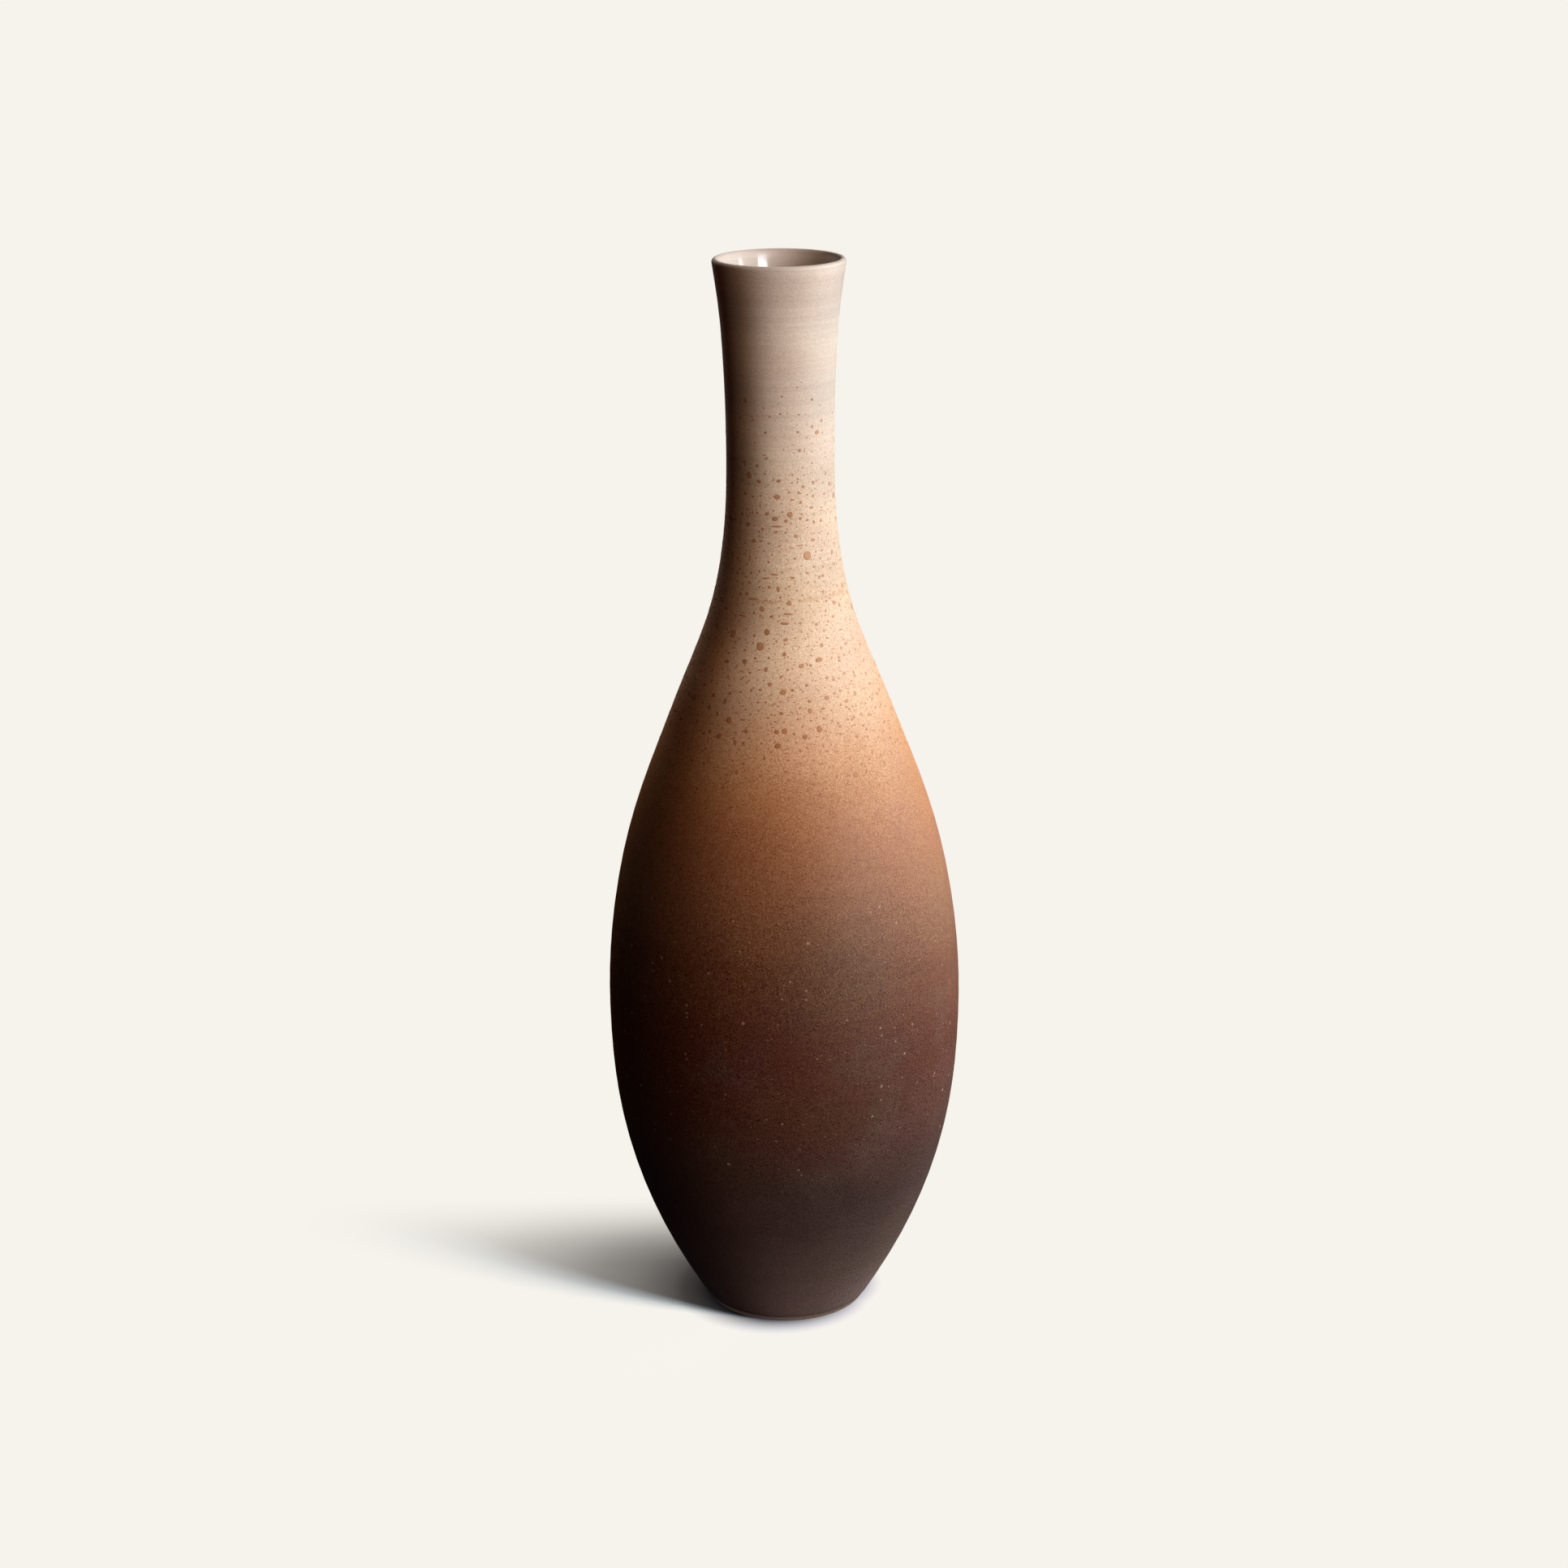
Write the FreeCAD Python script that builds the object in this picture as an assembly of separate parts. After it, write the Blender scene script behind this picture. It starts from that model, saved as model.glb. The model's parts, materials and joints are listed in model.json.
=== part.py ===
import FreeCAD, Part
import os
from math import sin, cos, tan, atan, atan2, radians, degrees, sqrt, pi

# Tall wheel-thrown stoneware bottle vase: narrow flared neck on a long ovoid body.
# It stands on a turned foot ring. Frame: +Z up along the throwing axis, origin on
# that axis in the plane the foot ring stands on. Millimetres.
#
# The clay wall is thrown in three sections (base and lower body, shoulder, neck).
# Neighbouring sections meet in a stepped lap joint bedded in a thin layer of joining
# slip. A matt slip coat covers the outside from just above the foot ring to the lip,
# and a glossy liner glaze covers the whole inside. Neighbouring solids share their
# faces exactly, with no gap and no overlap.

# ---------------------------------------------------------------- driving dimensions
HEIGHT = 400.0            # foot plane to crest of the lip
LIP_T = 2.6               # finished lip thickness, coats included
LIP_R = LIP_T / 2.0       # finished lip is a half round
SLIP_T = 0.30             # outer slip coat
GLAZE_T = 0.40            # liner glaze
BOND_T = 0.40             # joining slip in the lap joints

FOOT_ROUND = 1.6          # outer edge of the foot ring
FOOT_RING_W = 6.2         # flat and roundings of the foot ring, measured radially
FOOT_IN_ROUND = 1.0       # inner edge of the foot ring
FOOT_RECESS = 3.2         # depth of the turned recess under the floor
COAT_START_Z = 2.2        # bare clay below this height, so the foot ring is clean
LIP_SPLIT_DEG = 128.0     # where slip coat and liner glaze meet, round the lip from outside

BELLY_JOINT_Z = 150.0     # lower edge of the belly lap joint
BELLY_STEP = 7.0          # height of its step
NECK_JOINT_Z = 279.0      # lower edge of the neck lap joint
NECK_STEP = 5.0

# finished outside profile: (height, radius)
OUTER = [
    (0.0, 29.89), (20.0, 41.46), (42.0, 51.70), (64.0, 58.98), (88.0, 63.71),
    (112.0, 65.59), (136.0, 65.51), (160.0, 63.11), (184.0, 58.46), (206.0, 51.81),
    (226.0, 44.25), (244.0, 37.21), (258.0, 31.49), (270.0, 27.02), (282.0, 23.73),
    (296.0, 21.28), (312.0, 19.82), (330.0, 19.41), (348.0, 19.62), (364.0, 20.22),
    (378.0, 21.16), (389.0, 22.41), (398.7, 23.84),
]

# inside profile of the bare clay: (height, radius), floor centre first
INNER = [
    (10.0, 0.0), (10.2, 8.0), (11.3, 16.0), (13.9, 22.6), (17.6, 28.0), (22.6, 32.6),
    (30.5, 38.6), (40.0, 44.0), (50.0, 48.3), (64.0, 53.1), (88.0, 58.3), (112.0, 60.4),
    (136.0, 60.4), (160.0, 58.05), (184.0, 53.4), (206.0, 46.8), (226.0, 39.3),
    (244.0, 32.3), (258.0, 26.7), (270.0, 22.4), (282.0, 19.3), (296.0, 17.05),
    (312.0, 15.75), (330.0, 15.4), (348.0, 15.65), (364.0, 16.4), (378.0, 17.6),
    (389.0, 19.25), (398.7, 21.64),
]


def V(r, z):
    return FreeCAD.Vector(r, 0.0, z)


def natural_spline(xs, ys):
    """Natural cubic spline as a function returning (value, slope)."""
    n = len(xs)
    h = [xs[i + 1] - xs[i] for i in range(n - 1)]
    a = [0.0] * n
    b = [1.0] * n
    c = [0.0] * n
    d = [0.0] * n
    for i in range(1, n - 1):
        a[i], b[i], c[i] = h[i - 1], 2.0 * (h[i - 1] + h[i]), h[i]
        d[i] = 6.0 * ((ys[i + 1] - ys[i]) / h[i] - (ys[i] - ys[i - 1]) / h[i - 1])
    for i in range(1, n):
        w = a[i] / b[i - 1]
        b[i] -= w * c[i - 1]
        d[i] -= w * d[i - 1]
    m = [0.0] * n
    m[-1] = d[-1] / b[-1]
    for i in range(n - 2, -1, -1):
        m[i] = (d[i] - c[i] * m[i + 1]) / b[i]

    def f(x):
        i = 0
        while i < n - 2 and x > xs[i + 1]:
            i += 1
        t, u = xs[i + 1] - x, x - xs[i]
        val = (m[i] * t ** 3 + m[i + 1] * u ** 3) / (6 * h[i]) \
            + (ys[i] / h[i] - m[i] * h[i] / 6) * t + (ys[i + 1] / h[i] - m[i + 1] * h[i] / 6) * u
        slope = (-m[i] * t * t + m[i + 1] * u * u) / (2 * h[i]) \
            - ys[i] / h[i] + m[i] * h[i] / 6 + ys[i + 1] / h[i] - m[i + 1] * h[i] / 6
        return val, slope
    return f


outer_f = natural_spline([p[0] for p in OUTER], [p[1] for p in OUTER])


def bspline(points):
    c = Part.BSplineCurve()
    c.interpolate(points)
    return c


def smooth_chain(points, count):
    """count + 1 points along a natural spline through (r, z) points, by chord length,
    each with its unit tangent."""
    t = [0.0]
    for p, q in zip(points, points[1:]):
        t.append(t[-1] + sqrt((q[0] - p[0]) ** 2 + (q[1] - p[1]) ** 2))
    fr = natural_spline(t, [p[0] for p in points])
    fz = natural_spline(t, [p[1] for p in points])
    out = []
    for k in range(count + 1):
        u = t[-1] * k / count
        (r, dr), (z, dz) = fr(u), fz(u)
        out.append((V(r, z), unit(dr, dz)))
    return out


def unit(r, z):
    n = sqrt(r * r + z * z)
    return FreeCAD.Vector(r / n, 0.0, z / n)


def offset_point(p, tangent, dist):
    """Point moved to the left of the tangent, in the r-z half plane, by dist."""
    return FreeCAD.Vector(p.x - tangent.z * dist, 0.0, p.z + tangent.x * dist)


# ---------------------------------------------------------------- profile curves
LIP_Z = HEIGHT - LIP_R                      # centre height of the lip's half round
LIP_OUT = outer_f(LIP_Z)[0]                 # finished outer radius of the lip
Z_STATIONS = [3.0, 12.0, 22.0, 32.0, 42.0, 53.0, 64.0, 76.0, 88.0, 100.0, 112.0, 124.0,
              136.0, 148.0, 160.0, 172.0, 184.0, 195.0, 206.0, 216.0, 226.0, 235.0,
              244.0, 251.0, 258.0, 264.0, 270.0, 276.0, 282.0, 289.0, 296.0, 304.0,
              312.0, 321.0, 330.0, 339.0, 348.0, 356.0, 364.0, 371.0, 378.0, 384.0,
              389.0, 394.0]


def outer_points(dist):
    pts = []
    for z in Z_STATIONS:
        r, s = outer_f(z)
        pts.append(offset_point(V(r, z), unit(s, 1.0), dist))
    return pts


# finished outside, from the start of the coat to the widest point of the lip
s0 = outer_f(COAT_START_Z)[1]
s1 = outer_f(LIP_Z)[1]
start = V(outer_f(COAT_START_Z)[0], COAT_START_Z)
finish = V(LIP_OUT, LIP_Z)
skin_out = bspline([start] + outer_points(0.0) + [finish])

# bare clay outside: the finished outside moved in by the coat, down to the foot rounding
clay_foot_slope = outer_f(0.0)[1]
foot_angle = atan(clay_foot_slope)
clay_shift = SLIP_T / cos(foot_angle)
foot_corner_r = outer_f(0.0)[0] - clay_shift     # where the clay wall would meet the foot plane
foot_c_r = foot_corner_r - FOOT_ROUND * (1.0 - sin(foot_angle)) / cos(foot_angle)
foot_tan = V(foot_c_r + FOOT_ROUND * cos(foot_angle), FOOT_ROUND - FOOT_ROUND * sin(foot_angle))
foot_mid_a = (foot_angle + pi / 2) / 2
foot_mid = V(foot_c_r + FOOT_ROUND * cos(foot_mid_a), FOOT_ROUND - FOOT_ROUND * sin(foot_mid_a))
foot_flat_out = V(foot_c_r, 0.0)
clay_start = offset_point(start, unit(s0, 1.0), SLIP_T)
CLAY_LIP_R = (LIP_T - SLIP_T - GLAZE_T) / 2.0
clay_lip_out = V(LIP_OUT - SLIP_T, LIP_Z)
clay_out = bspline([clay_start] + outer_points(SLIP_T) + [clay_lip_out])

# bare clay inside and the liner's free surface
INNER_COUNT = 64
inner_chain = smooth_chain([(r, z) for z, r in INNER], INNER_COUNT)
inner_pts = [V(0.0, INNER[0][0])] + [p for p, t in inner_chain[1:-1]] + [V(LIP_OUT - LIP_T + GLAZE_T, LIP_Z)]
clay_in = bspline(inner_pts)
glaze_pts = [V(0.0, INNER[0][0] + GLAZE_T)]
glaze_pts += [offset_point(p, t, GLAZE_T) for p, t in inner_chain[1:-1]]
glaze_pts += [V(LIP_OUT - LIP_T, LIP_Z)]
glaze_in = bspline(glaze_pts)
u0, u1 = clay_in.FirstParameter, clay_in.LastParameter

# lip: finished half round and the clay's smaller half round inside it
lip_c = V(LIP_OUT - LIP_R, LIP_Z)
clay_lip_c = V(LIP_OUT - SLIP_T - CLAY_LIP_R, LIP_Z)
split = radians(LIP_SPLIT_DEG)


def on_arc(c, r, ang):
    return V(c.x + r * cos(ang), c.z + r * sin(ang))


def arc(c, r, a0, a1):
    return Part.Arc(on_arc(c, r, a0), on_arc(c, r, (a0 + a1) / 2), on_arc(c, r, a1)).toShape()


lip_skin_arc = arc(lip_c, LIP_R, 0.0, split)
lip_glaze_arc = arc(lip_c, LIP_R, split, pi)
lip_clay_arc_a = arc(clay_lip_c, CLAY_LIP_R, 0.0, split)
lip_clay_arc_b = arc(clay_lip_c, CLAY_LIP_R, split, pi)
lip_split_edge = Part.makeLine(on_arc(lip_c, LIP_R, split), on_arc(clay_lip_c, CLAY_LIP_R, split))
coat_foot_edge = Part.makeLine(clay_start, start)

# underside: foot ring and turned recess
ring_in_r = foot_c_r + FOOT_ROUND - FOOT_RING_W
recess_slope = radians(62.0)
in_c = V(ring_in_r + FOOT_IN_ROUND, FOOT_IN_ROUND)
in_a0, in_a1 = -pi / 2, -pi / 2 - recess_slope
foot_in_arc = Part.Arc(on_arc(in_c, FOOT_IN_ROUND, in_a0), on_arc(in_c, FOOT_IN_ROUND, (in_a0 + in_a1) / 2),
                       on_arc(in_c, FOOT_IN_ROUND, in_a1)).toShape()
recess_a = on_arc(in_c, FOOT_IN_ROUND, in_a1)
recess_b = V(recess_a.x - (FOOT_RECESS * 0.72 - recess_a.z) / tan(recess_slope), FOOT_RECESS * 0.72)
recess = bspline([recess_b, V(recess_b.x - 2.2, FOOT_RECESS * 0.95), V(recess_b.x * 0.55, FOOT_RECESS + 0.1),
                  V(0.0, FOOT_RECESS + 0.2)])


def revolve(edges):
    wire = Part.Wire(Part.__sortEdges__(edges))
    face = Part.Face(wire)
    solid = face.revolve(FreeCAD.Vector(0, 0, 0), FreeCAD.Vector(0, 0, 1), 360)
    if solid.ShapeType != "Solid":
        solid = Part.Solid(solid.Shells[0])
    if solid.Volume < 0:
        solid.reverse()
    return solid


def ring(points):
    """Solid of revolution of a closed polygon given as (r, z)."""
    pts = [V(r, z) for r, z in points]
    return revolve([Part.makeLine(pts[i], pts[(i + 1) % len(pts)]) for i in range(len(pts))])


# ---------------------------------------------------------------- whole clay wall
clay = revolve([
    Part.makeLine(V(0.0, FOOT_RECESS + 0.2), V(0.0, INNER[0][0])),
    clay_in.toShape(),
    lip_clay_arc_b, lip_clay_arc_a,
    clay_out.toShape(), Part.makeLine(foot_tan, clay_start),
    Part.Arc(foot_tan, foot_mid, foot_flat_out).toShape(),
    Part.makeLine(foot_flat_out, V(in_c.x, 0.0)),
    foot_in_arc,
    Part.makeLine(recess_a, recess_b),
    recess.toShape(),
])

outer_slip_coat = revolve([skin_out.toShape(), lip_skin_arc, lip_split_edge, lip_clay_arc_a,
                           clay_out.toShape(), coat_foot_edge])
liner_glaze = revolve([glaze_in.toShape(), lip_glaze_arc, lip_split_edge, lip_clay_arc_b, clay_in.toShape(),
                       Part.makeLine(V(0.0, INNER[0][0]), V(0.0, INNER[0][0] + GLAZE_T))])


# ---------------------------------------------------------------- lap joints
def inner_r(z):
    """Inside radius of the clay at height z, by bisection on the curve."""
    a, b = u0 + (u1 - u0) * 0.3, u1
    for _ in range(60):
        m = (a + b) / 2
        if clay_in.value(m).z < z:
            a = m
        else:
            b = m
    return clay_in.value(a).x


def lap(z_low, step, share):
    """r-z corner points of a stepped lap joint: the step follows the wall's own slope.
    share is where the step cuts the wall, 0 at the inside face and 1 at the outside."""
    z_high = z_low + step
    ra = inner_r(z_low) + share * (outer_f(z_low)[0] - SLIP_T - inner_r(z_low))
    rb = inner_r(z_high) + share * (outer_f(z_high)[0] - SLIP_T - inner_r(z_high))
    return (ra, z_low), (rb, z_high)


def cut_regions(z_low, step, share, far=90.0):
    (ra, za), (rb, zb) = lap(z_low, step, share)
    below = [(0.0, -5.0), (far, -5.0), (far, za), (ra, za), (rb, zb), (0.0, zb)]
    above = [(0.0, HEIGHT + 5.0), (far, HEIGHT + 5.0), (far, za + BOND_T), (ra + BOND_T, za + BOND_T),
             (rb + BOND_T, zb + BOND_T), (0.0, zb + BOND_T)]
    bond = [(far, za), (far, za + BOND_T), (ra + BOND_T, za + BOND_T), (rb + BOND_T, zb + BOND_T),
            (0.0, zb + BOND_T), (0.0, zb), (rb, zb), (ra, za)]
    return ring(below), ring(above), ring(bond)


belly_below, belly_above, belly_bond = cut_regions(BELLY_JOINT_Z, BELLY_STEP, 0.5)
neck_below, neck_above, neck_bond = cut_regions(NECK_JOINT_Z, NECK_STEP, 0.5)


def single(shape):
    solids = shape.Solids
    assert len(solids) == 1, [round(s.Volume, 2) for s in solids]
    return solids[0]


lower_body = single(clay.common(belly_below))
upper_body = single(clay.common(belly_above).common(neck_below))
neck = single(clay.common(neck_above))
belly_joint_slip = single(clay.common(belly_bond))
neck_joint_slip = single(clay.common(neck_bond))

parts = {
    "lower_body_section": lower_body,
    "shoulder_section": upper_body,
    "neck_section": neck,
    "belly_joint_slip": belly_joint_slip,
    "neck_joint_slip": neck_joint_slip,
    "liner_glaze": liner_glaze,
    "outer_slip_coat": outer_slip_coat,
}

os.makedirs("parts", exist_ok=True)
total = 0.0
for name, shape in parts.items():
    assert shape.isValid() and shape.isClosed(), name
    shape.exportStep("parts/%s.step" % name)
    bb = shape.BoundBox
    total += shape.Volume
    print("%-20s %9.2f mm3  x %.2f..%.2f  z %.2f..%.2f  faces %d" % (
        name, shape.Volume, bb.XMin, bb.XMax, bb.ZMin, bb.ZMax, len(shape.Faces)))
print("clay whole %.2f, sections and joints %.2f" % (
    clay.Volume, sum(parts[n].Volume for n in list(parts)[:5])))
print("foot ring flat r %.2f to %.2f, outer lip r %.2f, throat r %.2f" % (in_c.x, foot_c_r, LIP_OUT, 15.4 - GLAZE_T))
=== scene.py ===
import json
import math
import random

import bpy
import numpy as np
from mathutils import Matrix, Vector

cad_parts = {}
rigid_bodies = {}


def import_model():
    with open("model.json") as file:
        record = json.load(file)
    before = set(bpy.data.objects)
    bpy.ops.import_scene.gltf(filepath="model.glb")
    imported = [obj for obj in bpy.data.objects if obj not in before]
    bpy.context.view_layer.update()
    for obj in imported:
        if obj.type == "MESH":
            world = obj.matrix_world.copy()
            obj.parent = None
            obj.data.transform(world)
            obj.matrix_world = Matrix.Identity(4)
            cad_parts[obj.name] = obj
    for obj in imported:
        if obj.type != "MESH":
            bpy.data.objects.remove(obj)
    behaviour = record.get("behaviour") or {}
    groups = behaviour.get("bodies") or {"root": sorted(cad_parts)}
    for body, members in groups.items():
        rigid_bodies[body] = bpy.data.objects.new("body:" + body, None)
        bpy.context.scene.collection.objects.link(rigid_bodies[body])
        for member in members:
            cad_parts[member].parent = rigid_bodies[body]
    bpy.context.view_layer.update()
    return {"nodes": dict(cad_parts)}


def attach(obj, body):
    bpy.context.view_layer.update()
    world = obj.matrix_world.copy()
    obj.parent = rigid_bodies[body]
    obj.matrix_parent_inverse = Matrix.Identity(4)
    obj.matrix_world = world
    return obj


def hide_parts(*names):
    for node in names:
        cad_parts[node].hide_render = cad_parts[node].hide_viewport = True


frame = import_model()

scene = bpy.context.scene
MM = 0.001
TAU = 2 * math.pi

# ------------------------------------------------------------------ the vase's own profile, in mm
# The same curves as the CAD solids: finished outside (height, radius) as a natural spline,
# and the bare inside wall, with the liner glaze 0.4 mm further in.
OUTER = [
    (0.0, 29.89), (20.0, 41.46), (42.0, 51.70), (64.0, 58.98), (88.0, 63.71),
    (112.0, 65.59), (136.0, 65.51), (160.0, 63.11), (184.0, 58.46), (206.0, 51.81),
    (226.0, 44.25), (244.0, 37.21), (258.0, 31.49), (270.0, 27.02), (282.0, 23.73),
    (296.0, 21.28), (312.0, 19.82), (330.0, 19.41), (348.0, 19.62), (364.0, 20.22),
    (378.0, 21.16), (389.0, 22.41), (398.7, 23.84),
]
INNER = [
    (10.0, 0.0), (10.2, 8.0), (11.3, 16.0), (13.9, 22.6), (17.6, 28.0), (22.6, 32.6),
    (30.5, 38.6), (40.0, 44.0), (50.0, 48.3), (64.0, 53.1), (88.0, 58.3), (112.0, 60.4),
    (136.0, 60.4), (160.0, 58.05), (184.0, 53.4), (206.0, 46.8), (226.0, 39.3),
    (244.0, 32.3), (258.0, 26.7), (270.0, 22.4), (282.0, 19.3), (296.0, 17.05),
    (312.0, 15.75), (330.0, 15.4), (348.0, 15.65), (364.0, 16.4), (378.0, 17.6),
    (389.0, 19.25), (398.7, 21.64),
]
LIP_T, SLIP_T, GLAZE_T, LIP_Z = 2.6, 0.30, 0.40, 398.7
LIP_SPLIT = math.radians(128.0)
COAT_START_Z = 2.2


class Spline:
    """Natural cubic spline, y(x) and y'(x), for numbers or arrays."""

    def __init__(self, x, y):
        x, y = np.asarray(x, float), np.asarray(y, float)
        n, h = len(x), np.diff(x)
        a = np.eye(n)
        d = np.zeros(n)
        for i in range(1, n - 1):
            a[i, i - 1], a[i, i], a[i, i + 1] = h[i - 1], 2 * (h[i - 1] + h[i]), h[i]
            d[i] = 6 * ((y[i + 1] - y[i]) / h[i] - (y[i] - y[i - 1]) / h[i - 1])
        self.x, self.y, self.h, self.m = x, y, h, np.linalg.solve(a, d)

    def __call__(self, q, slope=False):
        q = np.asarray(q, float)
        i = np.clip(np.searchsorted(self.x, q, side="right") - 1, 0, len(self.h) - 1)
        h, t, u = self.h[i], self.x[i + 1] - q, q - self.x[i]
        m0, m1, y0, y1 = self.m[i], self.m[i + 1], self.y[i], self.y[i + 1]
        if slope:
            return (-m0 * t * t + m1 * u * u) / (2 * h) - y0 / h + m0 * h / 6 + y1 / h - m1 * h / 6
        return (m0 * t ** 3 + m1 * u ** 3) / (6 * h) + (y0 / h - m0 * h / 6) * t + (y1 / h - m1 * h / 6) * u


outer = Spline([p[0] for p in OUTER], [p[1] for p in OUTER])
LIP_OUT = float(outer(LIP_Z))


def chord_spline(points):
    """(r(t), z(t), length) through (z, r) points by chord length."""
    r, z = np.array([p[1] for p in points]), np.array([p[0] for p in points])
    t = np.r_[0, np.cumsum(np.hypot(np.diff(r), np.diff(z)))]
    return Spline(t, r), Spline(t, z), t[-1]


in_r, in_z, in_len = chord_spline(INNER)


def inner_curve(t, off=0.0):
    """Inside wall moved off mm towards the hollow, at chord lengths t. Returns r, z."""
    r, z = in_r(t), in_z(t)
    dr, dz = in_r(t, True), in_z(t, True)
    n = np.hypot(dr, dz)
    return r - dz / n * off, z + dr / n * off


# ------------------------------------------------------------------ hand-made relief, in mm
rng = np.random.default_rng(41)


def smooth_random(length, step, seed):
    """A smooth random function of height, about -1 to 1, with features near step mm."""
    g = np.random.default_rng(seed)
    x = np.arange(-2 * step, length + 3 * step, step)
    return Spline(x, g.normal(0, 0.55, len(x)))


drift = smooth_random(440, 21.0, 3)
pulse = smooth_random(440, 9.0, 5)
fine_a = smooth_random(440, 1.55, 8)
fine_b = smooth_random(440, 3.1, 9)
groove_a = smooth_random(440, 2.4, 12)


def ramp(x, a, b):
    t = np.clip((np.asarray(x, float) - a) / (b - a), 0, 1)
    return t * t * (3 - 2 * t)


def relief(z, phi):
    """How far the finished outside stands off the true profile at height z and azimuth phi:
    finger rings of one turn per pitch, finer on the pulled neck, smoothed on the ribbed body."""
    neck = ramp(z, 268, 292)
    # the rings climb one pitch a turn, so the pattern meets itself all round
    u = phi / TAU
    pitch_n, pitch_b = 3.1, 8.6
    a = fine_a(np.clip(z - 1.55 * u, 0, 438)) * (1 - u) + fine_a(np.clip(z - 1.55 * (u - 1), 0, 438)) * u
    b = fine_b(np.clip(z - pitch_n * u, 0, 438)) * (1 - u) + fine_b(np.clip(z - pitch_n * (u - 1), 0, 438)) * u
    c = np.sin(TAU * z / pitch_b - phi + 1.4 * drift(np.clip(z, 0, 438)))
    d = groove_a(np.clip(z, 0, 438))
    body = 0.020 * c + 0.006 * a
    ringed = 0.016 * a + 0.030 * b + 0.010 * d
    wobble = 0.05 * np.sin(2 * phi + 0.7 + 0.006 * z) + 0.03 * np.sin(3 * phi + 2.1 - 0.011 * z)
    # a shallow step where the neck was joined on, and the faint swell over the belly joint
    join = -0.055 * np.exp(-(((z - 281.6) / 0.75) ** 2)) + 0.030 * np.exp(-(((z - 279.9) / 1.3) ** 2))
    swell = 0.035 * np.exp(-(((z - 154) / 9.0) ** 2))
    fade = ramp(z, 0, 12) * (1 - ramp(z, 395.5, 398.7))
    return (neck * ringed + (1 - neck) * body + wobble + join + swell) * fade


def inner_relief(z, phi):
    """Finger rings left inside, deeper than the ribbed outside."""
    u = phi / TAU
    b = fine_b(np.clip(z - 6.2 * u, 0, 438)) * (1 - u) + fine_b(np.clip(z - 6.2 * (u - 1), 0, 438)) * u
    c = np.sin(TAU * z / 9.3 - phi + 1.1 * drift(np.clip(z, 0, 438)))
    deep = 1 - ramp(z, 300, 392)
    return (0.05 * b + 0.11 * c * deep) * ramp(z, 14, 40) * (1 - ramp(z, 384, 397))


# ------------------------------------------------------------------ mesh builders
def add_mesh(name, verts, faces, uvs=None, smooth=True):
    me = bpy.data.meshes.new(name)
    me.from_pydata([tuple(v) for v in verts], [], faces)
    if uvs is not None:
        layer = me.uv_layers.new(name="OFBake")
        layer.data.foreach_set("uv", np.asarray(uvs, np.float32).ravel())
    me.validate()
    if smooth:
        me.polygons.foreach_set("use_smooth", [True] * len(me.polygons))
    me.update()
    ob = bpy.data.objects.new(name, me)
    scene.collection.objects.link(ob)
    return ob


def lathe(name, rows, seg, closed, share=None):
    """Surface turned about Z. rows is a list of (r, z, fn) in mm, fn(z, phi) an offset along the
    row's own (nr, nz), or None. closed joins the last row to the first. A row with r 0 is a pole."""
    phi = np.arange(seg) * TAU / seg
    verts, index = [], []
    for r, z, nr, nz, fn in rows:
        if r < 1e-6:
            index.append([len(verts)])
            verts.append((0.0, 0.0, z * MM))
            continue
        off = fn(np.full(seg, z), phi) if fn else np.zeros(seg)
        rr, zz = r + off * nr, z + off * nz
        index.append(list(range(len(verts), len(verts) + seg)))
        verts.extend(np.stack([rr * np.cos(phi), rr * np.sin(phi), zz], 1) * MM)
    n = len(rows)
    last = n if closed else n - 1
    lengths = [math.hypot(rows[i][0] - rows[(i + 1) % n][0], rows[i][1] - rows[(i + 1) % n][1]) for i in range(last)]
    if share is not None:
        lengths = [l * s for l, s in zip(lengths, share)]
    v = np.r_[0, np.cumsum(lengths)]
    v = v / v[-1] * 0.998 + 0.001
    faces, uvs = [], []
    for i in range(last):
        a, b = index[i], index[(i + 1) % n]
        for k in range(seg):
            k2 = (k + 1) % seg
            u0, u1 = 0.001 + 0.998 * k / seg, 0.001 + 0.998 * (k + 1) / seg
            if len(a) == 1 and len(b) == 1:
                continue
            if len(a) == 1:
                faces.append((a[0], b[k2], b[k]))
                uvs += [((u0 + u1) / 2, v[i]), (u1, v[i + 1]), (u0, v[i + 1])]
            elif len(b) == 1:
                faces.append((a[k], a[k2], b[0]))
                uvs += [(u0, v[i]), (u1, v[i]), ((u0 + u1) / 2, v[i + 1])]
            else:
                faces.append((a[k], a[k2], b[k2], b[k]))
                uvs += [(u0, v[i]), (u1, v[i]), (u1, v[i + 1]), (u0, v[i + 1])]
    return add_mesh(name, verts, faces, uvs)


def normals_of(r, z):
    """Unit normals to the right of a path of (r, z)."""
    dr, dz = np.gradient(r), np.gradient(z)
    n = np.hypot(dr, dz)
    return dz / n, -dr / n


SEG = 240
lip_c = (LIP_OUT - LIP_T / 2, LIP_Z)
clay_lip_r = (LIP_T - SLIP_T - GLAZE_T) / 2
clay_lip_c = (LIP_OUT - SLIP_T - clay_lip_r, LIP_Z)

# ---- outer slip coat: visible skin from foot to lip, then back down its hidden inner face
z_out = np.r_[COAT_START_Z, 2.5, 2.8, 3.2, 3.7, np.linspace(4.4, 268, 190)[:-1], np.linspace(268, LIP_Z, 138)]
r_out = outer(z_out)
slope = outer(z_out, True)
nn = np.hypot(1, slope)
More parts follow.
